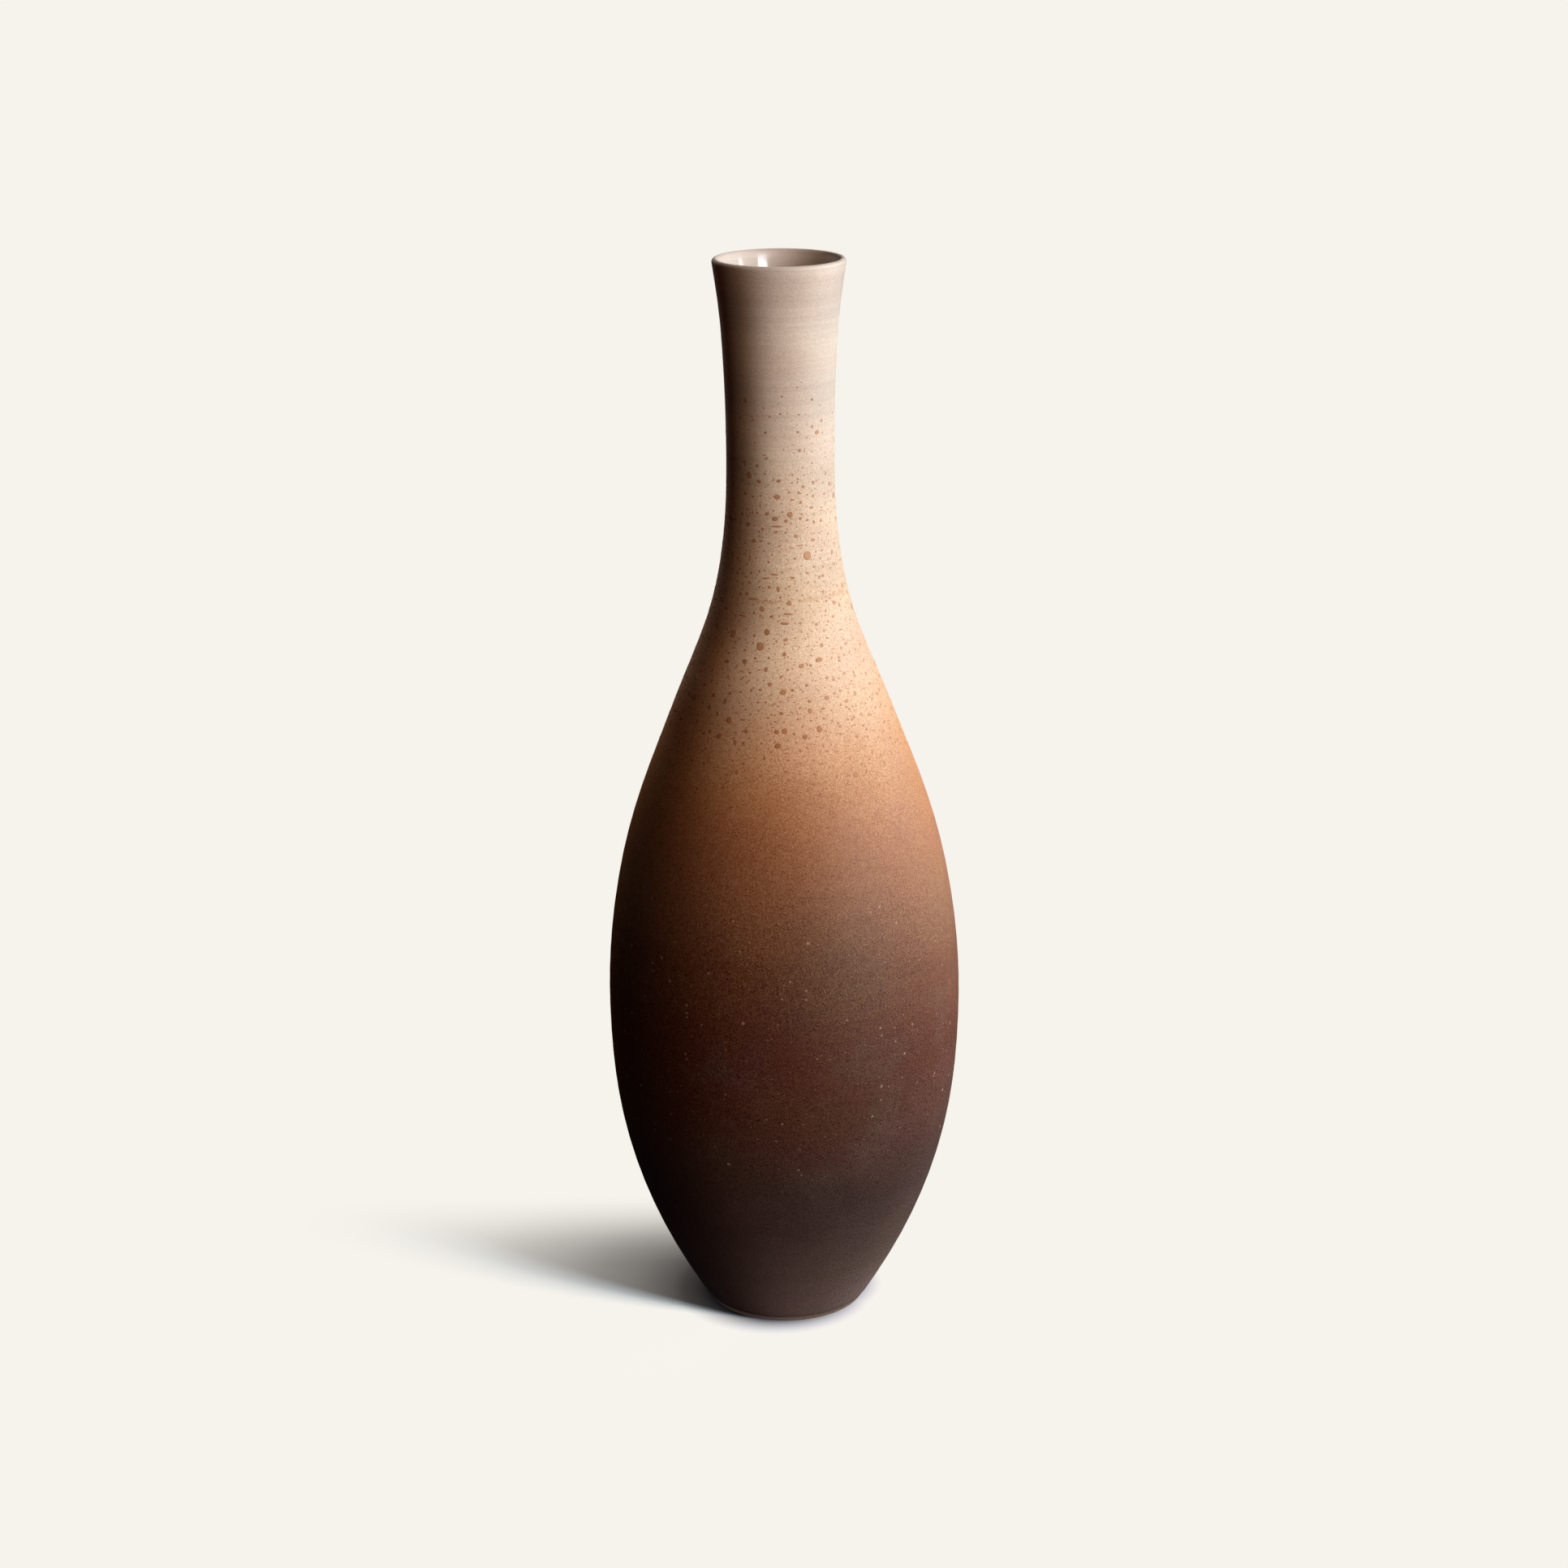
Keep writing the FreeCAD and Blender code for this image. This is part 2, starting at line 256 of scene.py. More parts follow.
# the slip thins out to nothing much over its last two millimetres above the foot
thin = (SLIP_T - 0.05) * (1 - ramp(z_out, COAT_START_Z, 4.4))
rows = [(r - d / m, z + d * s / m, 1 / m, -s / m, relief) for r, z, s, m, d in zip(r_out, z_out, slope, nn, thin)]
for ang in np.linspace(0, LIP_SPLIT, 15)[1:]:
    rows.append((lip_c[0] + LIP_T / 2 * math.cos(ang), lip_c[1] + LIP_T / 2 * math.sin(ang), 1, 0, None))
visible_rows = len(rows)
for ang in np.linspace(LIP_SPLIT, 0, 8):
    rows.append((clay_lip_c[0] + clay_lip_r * math.cos(ang), clay_lip_c[1] + clay_lip_r * math.sin(ang), 1, 0, None))
z_back = np.linspace(LIP_Z, COAT_START_Z, 62)[1:]
s_back = outer(z_back, True)
m_back = np.hypot(1, s_back)
for z, s, m in zip(z_back, s_back, m_back):
    rows.append((float(outer(z)) - SLIP_T / m, z + SLIP_T * s / m, 1, 0, None))
share = [1.0 if i < visible_rows else 0.06 for i in range(len(rows))]
coat = lathe("outer_slip_skin", rows, SEG, True, share)

# ---- liner glaze: free surface from the lip's inner side to the floor, then its hidden face
t_in = np.r_[np.linspace(0, in_len * 0.14, 30)[:-1], np.linspace(in_len * 0.14, in_len * 0.76, 90)[:-1],
             np.linspace(in_len * 0.76, in_len, 62)]
gr, gz = inner_curve(t_in, GLAZE_T)
gr[0], gz[0] = 0.0, 10.0 + GLAZE_T
gr[-1], gz[-1] = LIP_OUT - LIP_T, LIP_Z
nr, nz = normals_of(gr, gz)
rows = [(float(r), float(z), float(-a), float(-b), inner_relief) for r, z, a, b in zip(gr, gz, nr, nz)]
rows[0] = (0.0, float(gz[0]), 0, 1, None)
rows[-1] = (float(gr[-1]), float(gz[-1]), 1, 0, None)
for ang in np.linspace(math.pi, LIP_SPLIT, 10)[1:]:
    rows.append((lip_c[0] + LIP_T / 2 * math.cos(ang), lip_c[1] + LIP_T / 2 * math.sin(ang), 1, 0, None))
liner_visible = len(rows)
for ang in np.linspace(LIP_SPLIT, math.pi, 6):
    rows.append((clay_lip_c[0] + clay_lip_r * math.cos(ang), clay_lip_c[1] + clay_lip_r * math.sin(ang), 1, 0, None))
for t in np.linspace(in_len, 0, 60)[1:]:
    r, z = inner_curve(np.array([t]), 0.0)
    rows.append((max(float(r[0]), 0.0) if t > 0 else 0.0, float(z[0]), 1, 0, None))
share = [1.0 if i < liner_visible else 0.06 for i in range(len(rows))]
liner = lathe("liner_glaze_skin", rows, SEG, False, share)
bpy.context.view_layer.update()

# ---- lower body: clay wall with its turned foot ring, recess and floor
foot_slope = float(outer(0.0, True))
foot_angle = math.atan(foot_slope)
FOOT_ROUND, FOOT_RING_W, FOOT_IN_ROUND, FOOT_RECESS = 1.6, 6.2, 1.0, 3.2
foot_corner = float(outer(0.0)) - SLIP_T / math.cos(foot_angle)
foot_c = foot_corner - FOOT_ROUND * (1 - math.sin(foot_angle)) / math.cos(foot_angle)
ring_in = foot_c + FOOT_ROUND - FOOT_RING_W
in_c = (ring_in + FOOT_IN_ROUND, FOOT_IN_ROUND)
rec_slope = math.radians(62.0)


def turned(z_unused, phi):
    return np.zeros(len(phi))


def recess_relief(radius):
    """Turning marks left by the trimming tool under the floor, as a spiral."""
    def f(z, phi):
        s = np.sin(TAU * radius / 2.3 + phi)
        return 0.07 * s + 0.03 * np.sin(TAU * radius / 0.9 + phi + 1.0)
    return f


def ring_relief(scale, seed):
    def f(z, phi):
        g = np.random.default_rng(seed)
        out = np.zeros(len(phi))
        for k in (3, 5, 9, 14, 23, 37):
            out += g.normal(0, 1) * np.sin(k * phi + g.uniform(0, TAU)) / math.sqrt(k)
        return out * scale
    return f


rows = []
# underside, from the middle out to the ring: a turned recess
rows.append((0.0, FOOT_RECESS + 0.2, 0, -1, None))
rec_a = -math.pi / 2 - rec_slope
rec_ax, rec_az = in_c[0] + FOOT_IN_ROUND * math.cos(rec_a), in_c[1] + FOOT_IN_ROUND * math.sin(rec_a)
rec_bz = FOOT_RECESS * 0.72
rec_bx = rec_ax - (rec_bz - rec_az) / math.tan(rec_slope)
rec = Spline([0.0, rec_bx * 0.55, rec_bx - 2.2, rec_bx], [FOOT_RECESS + 0.2, FOOT_RECESS + 0.1, FOOT_RECESS * 0.95, rec_bz])
for r in np.linspace(0.6, rec_bx, 62):
    rows.append((float(r), float(rec(r)), 0, -1, recess_relief(r)))
for f in np.linspace(0, 1, 6)[1:]:
    rows.append((rec_bx + (rec_ax - rec_bx) * f, rec_bz + (rec_az - rec_bz) * f, -0.8, -0.6, None))
for ang in np.linspace(rec_a, -math.pi / 2, 8)[1:]:
    rows.append((in_c[0] + FOOT_IN_ROUND * math.cos(ang), in_c[1] + FOOT_IN_ROUND * math.sin(ang), 0, 1, None))
for r in np.linspace(in_c[0], foot_c, 9)[1:]:
    rows.append((float(r), 0.0, 0, 1, None))
a1 = -math.pi / 2 + (math.pi / 2 + foot_angle - 0.0)
for ang in np.linspace(-math.pi / 2, -foot_angle, 12)[1:]:
    rows.append((foot_c + FOOT_ROUND * math.cos(ang), FOOT_ROUND + FOOT_ROUND * math.sin(ang), 1, 0, None))
s0 = float(outer(COAT_START_Z, True))
m0 = math.hypot(1, s0)
cs_r, cs_z = float(outer(COAT_START_Z)) - SLIP_T / m0, COAT_START_Z + SLIP_T * s0 / m0
ft_r, ft_z = rows[-1][0], rows[-1][1]
for f in np.linspace(0, 1, 5)[1:]:
    rows.append((ft_r + (cs_r - ft_r) * f, ft_z + (cs_z - ft_z) * f, 1, 0, None))
foot_rows = len(rows)


def clay_out(z):
    s = float(outer(z, True))
    m = math.hypot(1, s)
    return float(outer(z)) - SLIP_T / m, z + SLIP_T * s / m


def clay_out_at(height):
    lo, hi = height - 2, height + 2
    for _ in range(50):
        mid = (lo + hi) / 2
        if clay_out(mid)[1] < height:
            lo = mid
        else:
            hi = mid
    return clay_out(lo)[0]


def inner_t(height):
    lo, hi = in_len * 0.12, in_len
    for _ in range(60):
        mid = (lo + hi) / 2
        if float(in_z(mid)) < height:
            lo = mid
        else:
            hi = mid
    return lo


BELLY_Z, BELLY_STEP = 150.0, 7.0
for z in np.linspace(COAT_START_Z, BELLY_Z, 40)[1:-1]:
    r, zz = clay_out(float(z))
    rows.append((r, zz, 1, 0, None))
lap = []
for z in (BELLY_Z, BELLY_Z + BELLY_STEP):
    ri, ro = float(in_r(inner_t(z))), float(outer(z)) - SLIP_T
    lap.append((ri + 0.5 * (ro - ri), z))
rows.append((clay_out_at(BELLY_Z), BELLY_Z, 1, 0, None))
rows.append((lap[0][0], BELLY_Z, 1, 0, None))
rows.append((lap[1][0], BELLY_Z + BELLY_STEP, 1, 0, None))
t_top = inner_t(BELLY_Z + BELLY_STEP)
for t in np.linspace(t_top, 0, 48):
    r, z = float(in_r(t)), float(in_z(t))
    rows.append((r if t > 0 else 0.0, z, 1, 0, None))
share = [1.0 if i < foot_rows else 0.08 for i in range(len(rows))]
foot = lathe("turned_foot_and_body", rows, SEG, False, share)


# ------------------------------------------------------------------ spatter: raised drops of brown slip
# (height mm, azimuth deg, width mm, height mm) of the larger drops on the side seen first.
# They were flicked on from one side while the wheel turned, so some are short level dashes.
DROPS = [
    (265.7, -105.4, 3.2, 3.1), (296.8, -63.8, 3.5, 3.2), (268.9, -128.8, 3.0, 3.0), (234.5, -123.4, 2.4, 2.3),
    (240.2, -119.2, 2.5, 2.4), (325.5, -124.4, 2.3, 2.5), (237.7, -70.4, 2.4, 2.3), (352.3, -127.4, 2.1, 1.9),
    (270.6, -101.1, 2.4, 2.1), (260.6, -64.1, 2.9, 1.7), (246.2, -123.9, 2.0, 2.2), (250.6, -89.2, 2.4, 2.1),
    (232.8, -92.2, 2.3, 2.1), (237.7, -88.7, 2.3, 2.2), (318.3, -93.6, 2.5, 1.7), (278.5, -106.3, 2.1, 2.1),
    (310.4, -95.7, 2.4, 1.8), (260.2, -115.5, 2.1, 2.0), (311.9, -80.5, 2.3, 2.0), (323.6, -113.1, 2.0, 1.4),
    (243.2, -133.8, 2.0, 1.9), (280.6, -83.3, 2.0, 2.0), (259.1, -77.0, 2.1, 1.7), (302.1, -117.6, 2.0, 1.5),
    (247.7, -63.4, 2.1, 1.6), (244.0, -74.4, 1.6, 2.1), (340.4, -48.4, 1.9, 1.8), (237.4, -92.9, 1.9, 1.7),
    (235.5, -78.4, 2.0, 1.6), (253.2, -97.4, 1.9, 1.7), (241.7, -127.2, 1.7, 1.7), (250.0, -142.7, 2.2, 1.2),
    (278.7, -39.9, 1.7, 1.8), (237.2, -108.9, 2.0, 1.5), (324.0, -91.8, 1.8, 1.3), (235.3, -129.5, 1.8, 1.7),
    (296.2, -31.0, 1.5, 1.8), (276.8, -142.4, 1.9, 1.5), (312.1, -104.0, 1.6, 1.5), (283.2, -121.1, 1.3, 1.8),
    (265.3, -60.1, 1.5, 1.6), (302.1, -56.3, 1.9, 1.3), (304.0, -74.6, 1.5, 1.4), (309.6, -84.7, 1.6, 1.3),
    (305.7, -94.8, 1.7, 1.1), (306.6, -108.4, 1.4, 1.2), (223.4, -111.0, 1.5, 1.9), (220.9, -55.4, 2.6, 1.9),
    (318.7, -129.5, 1.6, 1.4), (285.5, -92.7, 1.4, 2.2), (247.4, -133.1, 1.9, 1.6), (268.1, -87.1, 1.9, 1.2),
    (233.2, -113.8, 1.6, 1.7), (259.4, -129.1, 2.1, 1.4), (258.1, -100.2, 1.6, 1.7), (263.2, -88.2, 1.5, 1.6),
    (243.6, -90.4, 1.6, 1.4), (245.5, -50.7, 1.8, 1.4), (247.2, -43.0, 1.5, 1.9), (329.1, -114.8, 1.6, 1.4),
    # level dashes
    (307.7, -93.9, 4.4, 0.8), (273.6, -87.5, 3.3, 1.1), (276.8, -84.3, 3.2, 1.0), (281.7, -114.5, 4.4, 0.9),
    (290.6, -96.2, 3.0, 0.8), (300.6, -71.0, 3.0, 0.45), (275.5, -122.5, 3.0, 0.8), (289.2, -104.0, 3.2, 0.6),
]
KEEP_CLEAR = [(z, p) for z, p, w, h in DROPS]
pick = random.Random(20260)


def spatter_density(z):
    """Share of the fullest spatter at height z: full on the lower neck and shoulder."""
    return float(ramp(z, 214, 236) * (1 - 0.93 * ramp(z, 311, 331)) * (1 - ramp(z, 340, 362)))


def cluster(z, a):
    """Loose clumping of the spatter round the vase."""
    return 0.62 + 0.38 * math.sin(2.3 * a + 0.11 * z + 0.7) * math.sin(3.0 * a - 0.07 * z + 2.0) \
        + 0.22 * math.sin(7 * a + 0.21 * z)


def throw(count, low, high, front):
    out, tries = [], 0
    while len(out) < count and tries < count * 200:
        tries += 1
        z = pick.uniform(205, 362)
        a = pick.uniform(-180, 180)
        if not front and -146 < a < -30:
            continue
        r = float(outer(z)) / 50.0
        if pick.random() > spatter_density(z) * cluster(z, math.radians(a)) * min(1.0, r * 1.15):
            continue
        d = low * (high / low) ** (pick.random() ** 1.5)
        wide = pick.uniform(0.95, 1.35) if pick.random() > 0.12 else pick.uniform(1.8, 3.4)
        w, h = d * math.sqrt(wide), d / math.sqrt(wide)
        if any(abs(z - kz) < (d + 1.6) and abs(a - kp) % 360 < 180 * (d + 1.6) / (math.pi * float(outer(z))) for kz, kp in KEEP_CLEAR):
            continue
        out.append((z, a, w, h))
        KEEP_CLEAR.append((z, a))
    return out


drops = list(DROPS)
drops += throw(46, 1.9, 3.3, False)
drops += throw(150, 1.35, 1.9, False)
drops += throw(560, 0.85, 1.35, True)
drops += throw(1050, 0.5, 0.85, True)


def drop_mesh(name, items):
    verts, faces, radial, seeds, uvs = [], [], [], [], []
    count = len(items)
    side = math.ceil(math.sqrt(count))
    for n, (z0, deg, w, h) in enumerate(items):
        g = random.Random(977 * n + 13)
        big = max(w, h)
        seg = 18 if big > 1.9 else 14 if big > 1.3 else 10
        lift = 0.022 + 0.016 * min(big, 3.0)
        phi0 = math.radians(deg)
        s = float(outer(z0, True))
        m = math.hypot(1, s)
        r0 = float(outer(z0))
        tilt = g.uniform(-0.25, 0.25) if w < 1.7 * h else g.uniform(-0.06, 0.06)
        har = [(k, g.uniform(-1, 1) * 0.10 / (k - 1), g.uniform(0, TAU)) for k in (2, 3, 4, 5)]
        tone = g.random()
        base = len(verts)
        rings = ((0.0, lift * 0.72), (0.42, lift * 0.80), (0.72, lift), (0.90, lift * 0.55), (1.0, -0.035))
        local = []
        for f, up in rings:
            if f == 0:
                local.append([(0.0, 0.0, up, 0.0)])
                continue
            ring = []
            for k in range(seg):
                th = TAU * k / seg
                q = f * (1 + sum(am * math.sin(kk * th + ph) for kk, am, ph in har))
                x, y = q * w / 2 * math.cos(th), q * h / 2 * math.sin(th)
                ring.append((x * math.cos(tilt) - y * math.sin(tilt), x * math.sin(tilt) + y * math.cos(tilt), up, f))
            local.append(ring)
        local.append([(0.0, 0.0, -0.13, 0.0)])
        index = []
        flat = [p for ring in local for p in ring]
        a = np.array([p[0] for p in flat])
        b = np.array([p[1] for p in flat])
        up = np.array([p[2] for p in flat])
        phi = phi0 + a / r0
        z = z0 + b / m
        sl = outer(z, True)
        mm = np.hypot(1, sl)
        off = relief(z, np.mod(phi, TAU)) + up
        rr, zz = outer(z) + off / mm, z - off * sl / mm
        verts.extend(np.stack([rr * np.cos(phi), rr * np.sin(phi), zz], 1) * MM)
        radial += [p[3] for p in flat]
        seeds += [tone] * len(flat)
        cell = ((n % side + 0.5) / side, (n // side + 0.5) / side, 0.46 / side)
        start = base
        for ring in local:
            index.append(list(range(start, start + len(ring))))
            start += len(ring)
        new = []
        for i in range(len(index) - 1):
            p, q = index[i], index[i + 1]
            for k in range(seg):
                k2 = (k + 1) % seg
                if len(p) == 1:
                    new.append((p[0], q[k], q[k2]))
                elif len(q) == 1:
                    new.append((p[k], q[0], p[k2]))
                else:
                    new.append((p[k], q[k], q[k2], p[k2]))
        faces += new
        scale = cell[2] / max(w, h) * 1.7
        for f in new:
            for v in f:
                p = flat[v - base]
                uvs.append((cell[0] + p[0] * scale, cell[1] + p[1] * scale))
    ob = add_mesh(name, verts, faces, uvs)
    at = ob.data.attributes.new("radial", "FLOAT", "POINT")
    at.data.foreach_set("value", radial)
    at = ob.data.attributes.new("tone", "FLOAT", "POINT")
    at.data.foreach_set("value", seeds)
    return ob


spatter = drop_mesh("slip_spatter", drops)

# ------------------------------------------------------------------ materials
# Slip colour by height (mm): linear colour of the fired coat, from bare dark stoneware slip
# at the foot, through brown and orange tan, to pinkish cream at the neck.
SLIP = [
    (0, (0.155, 0.1072, 0.0900)), (14, (0.140, 0.0901, 0.0798)), (24, (0.103, 0.0659, 0.0539)),
    (36, (0.077, 0.0454, 0.0390)), (48, (0.056, 0.0291, 0.0253)), (60, (0.045, 0.0220, 0.0176)),
    (72, (0.048, 0.0190, 0.0130)), (84, (0.0600, 0.0189, 0.0109)), (96, (0.0638, 0.0170, 0.0060)),
    (108, (0.0713, 0.0162, 0.0058)), (120, (0.0768, 0.0152, 0.0043)), (132, (0.0862, 0.0187, 0.0059)),
    (144, (0.1060, 0.0300, 0.0094)), (156, (0.1210, 0.0360, 0.0111)), (168, (0.1700, 0.0598, 0.0216)),
    (180, (0.2150, 0.0775, 0.0289)), (192, (0.2590, 0.0920, 0.0323)), (204, (0.3180, 0.1180, 0.0431)),
    (216, (0.4170, 0.1735, 0.0646)), (228, (0.5390, 0.2685, 0.1220)), (240, (0.6060, 0.3600, 0.2020)),
    (255, (0.6600, 0.4430, 0.2870)), (270, (0.6680, 0.4670, 0.3140)), (285, (0.6580, 0.4650, 0.2980)),
    (300, (0.673, 0.4828, 0.3344)), (316, (0.669, 0.4972, 0.3566)), (332, (0.661, 0.5124, 0.3911)),
    (345, (0.658, 0.5181, 0.4079)), (360, (0.640, 0.5120, 0.4095)), (378, (0.678, 0.5521, 0.4473)),
    (390, (0.673, 0.5438, 0.4435)), (400, (0.692, 0.5675, 0.4660)),
]


# How much the sprayed grain varies red, green and blue, in percent, by height (mm)
GRAIN = [
    (0, (4.6, 5.4, 5.8)), (40, (5.4, 6.4, 7.0)), (60, (7.8, 11.0, 13.0)), (80, (9.8, 16.5, 20.0)),
    (100, (11.5, 23.0, 29.0)), (125, (13.5, 28.0, 30.0)), (150, (12.6, 25.0, 30.0)), (165, (10.4, 18.5, 26.0)),
    (180, (8.6, 14.5, 22.0)), (208, (7.0, 11.6, 18.5)), (225, (5.8, 9.2, 13.5)), (240, (4.2, 5.8, 7.4)),
    (300, (3.8, 4.8, 5.8)), (318, (3.5, 4.3, 5.0)), (335, (2.6, 3.2, 3.8)), (350, (2.3, 2.7, 3.0)),
    (400, (2.2, 2.7, 3.0)),
]


# Hairline scratches: azimuth and height (deg, mm) at each end
SCRATCHES = [
    (-56.0, 172.4, -37.0, 173.9), (-56.0, 146.4, -38.0, 147.3), (-93.0, 181.2, -67.0, 180.4), (-66.0, 193.6, -50.0, 191.4),
    (52.0, 128.0, 70.0, 138.0), (150.0, 151.0, 171.0, 146.0),
]


class Nodes:
    """Small helper to lay shader nodes."""

    def __init__(self, name):
        self.mat = bpy.data.materials.new(name)
        self.mat.use_nodes = True
        self.t = self.mat.node_tree
        self.t.nodes.clear()
        self.out = self.t.nodes.new("ShaderNodeOutputMaterial")
        self.bsdf = self.t.nodes.new("ShaderNodeBsdfPrincipled")
        self.t.links.new(self.bsdf.outputs[0], self.out.inputs[0])
        self.coord = self.t.nodes.new("ShaderNodeTexCoord")
        self.obj = self.coord.outputs["Object"]
        self.n = 0

    def node(self, kind, **props):
        nd = self.t.nodes.new(kind)
        nd.location = (-240 * (1 + self.n % 12), -220 * (self.n // 12))
        self.n += 1
        for k, v in props.items():
            setattr(nd, k, v)
        return nd

    def put(self, socket, value):
        if isinstance(value, bpy.types.NodeSocket):
            self.t.links.new(value, socket)
        elif value is not None:
            socket.default_value = value

    def math(self, op, a, b=None, c=None, clamp=False):
        nd = self.node("ShaderNodeMath", operation=op, use_clamp=clamp)
        self.put(nd.inputs[0], a)
        self.put(nd.inputs[1], b)
        self.put(nd.inputs[2], c)
        return nd.outputs[0]

    def vmath(self, op, a, b=None):
        nd = self.node("ShaderNodeVectorMath", operation=op)
        self.put(nd.inputs[0], a)
        self.put(nd.inputs[1], b)
        return nd.outputs[0]

    def scale(self, v, s):
        nd = self.node("ShaderNodeVectorMath", operation="SCALE")
        self.put(nd.inputs[0], v)
        self.put(nd.inputs["Scale"], s)
        return nd.outputs[0]

    def stretch(self, s):
        nd = self.node("ShaderNodeMapping")
        self.put(nd.inputs["Vector"], self.obj)
        nd.inputs["Scale"].default_value = s
        return nd.outputs[0]

    def noise(self, vec, scale, detail=2.0, rough=0.5, colour=False, lac=2.0):
        nd = self.node("ShaderNodeTexNoise")
        self.put(nd.inputs["Vector"], vec)
        nd.inputs["Scale"].default_value = scale
        nd.inputs["Detail"].default_value = detail
        nd.inputs["Roughness"].default_value = rough
        nd.inputs["Lacunarity"].default_value = lac
        return nd.outputs["Color" if colour else "Fac"]

    def cells(self, vec, scale):
        nd = self.node("ShaderNodeTexVoronoi", feature="F1", distance="EUCLIDEAN")
        self.put(nd.inputs["Vector"], vec)
        nd.inputs["Scale"].default_value = scale
        nd.inputs["Randomness"].default_value = 1.0
        return nd.outputs["Distance"], nd.outputs["Color"]

    def between(self, v, a, b, c=0.0, d=1.0, smooth=True):
        nd = self.node("ShaderNodeMapRange", interpolation_type="SMOOTHSTEP" if smooth else "LINEAR")
        self.put(nd.inputs["Value"], v)
        self.put(nd.inputs["From Min"], a)
        self.put(nd.inputs["From Max"], b)
        self.put(nd.inputs["To Min"], c)
        self.put(nd.inputs["To Max"], d)
        return nd.outputs["Result"]

    def mix(self, fac, a, b, blend="MIX"):
        nd = self.node("ShaderNodeMix", data_type="RGBA", blend_type=blend)
        self.put(nd.inputs["Factor"], fac)
        self.put(nd.inputs[6], a if isinstance(a, bpy.types.NodeSocket) else (*a, 1.0))
        self.put(nd.inputs[7], b if isinstance(b, bpy.types.NodeSocket) else (*b, 1.0))
        return nd.outputs[2]

    def ramp(self, fac, stops, interpolation="LINEAR"):
        nd = self.node("ShaderNodeValToRGB")
        cr = nd.color_ramp
        cr.interpolation = interpolation
        while len(cr.elements) > 1:
            cr.elements.remove(cr.elements[-1])
        cr.elements[0].position = stops[0][0]
        cr.elements[0].color = (*stops[0][1], 1)
        for p, c in stops[1:]:
            e = cr.elements.new(p)
            e.color = (*c, 1)
        self.put(nd.inputs["Fac"], fac)
        return nd.outputs["Color"]

    def bump(self, height, strength, distance, normal=None):
        nd = self.node("ShaderNodeBump")
        nd.inputs["Strength"].default_value = strength
        nd.inputs["Distance"].default_value = distance
        self.put(nd.inputs["Height"], height)
        if normal is not None:
            self.put(nd.inputs["Normal"], normal)
        return nd.outputs["Normal"]

    def split(self, vec):
        nd = self.node("ShaderNodeSeparateXYZ")
        self.put(nd.inputs[0], vec)
        return nd.outputs

    def rgb(self, col):
        nd = self.node("ShaderNodeSeparateColor")
        self.put(nd.inputs[0], col)
        return nd.outputs


def slip_ground(m):
    """The sprayed coat's colour without spatter. Returns (colour, height z in m)."""
    z = m.split(m.obj)[2]
    cloud = m.noise(m.obj, 17.0, 3.0, 0.55)
    patch = m.noise(m.obj, 70.0, 2.0, 0.5)
    # the sprayed bands waver a few millimetres, more on the body than on the neck
    on_body = m.between(z, 0.300, 0.240)
    wander = m.math("ADD", m.math("MULTIPLY", m.math("SUBTRACT", cloud, 0.5), 0.011),
                    m.math("MULTIPLY", m.math("SUBTRACT", patch, 0.5), 0.006))
    zz = m.math("ADD", z, m.math("MULTIPLY", wander, on_body))
    # the sprayed bands sit up to 13 mm lower on the +X side between about 90 and 235 mm high, so the colours there run
    # paler
    x, y, _ = m.split(m.obj)[:3]
    out = m.math("DIVIDE", x, m.math("SQRT", m.math("ADD", m.math("MULTIPLY", x, x), m.math("MULTIPLY", y, y))))
    dip = m.math("MULTIPLY", m.between(out, 0.52, 1.0, 0.0, 0.013, smooth=False), m.math("MULTIPLY", m.between(z, 0.235, 0.190), m.between(z, 0.090, 0.125)))
    zz = m.math("ADD", zz, dip)
    col = m.ramp(m.math("DIVIDE", zz, 0.4), [(h / 400.0, c) for h, c in SLIP])
    return col, z


def grain(m, z):
    """Spray grain: two fine noise fields of light and dark dots."""
    g1 = m.noise(m.obj, 2300.0, 2.0, 0.6)
    g2 = m.noise(m.obj, 950.0, 2.0, 0.55)
    return g1, g2


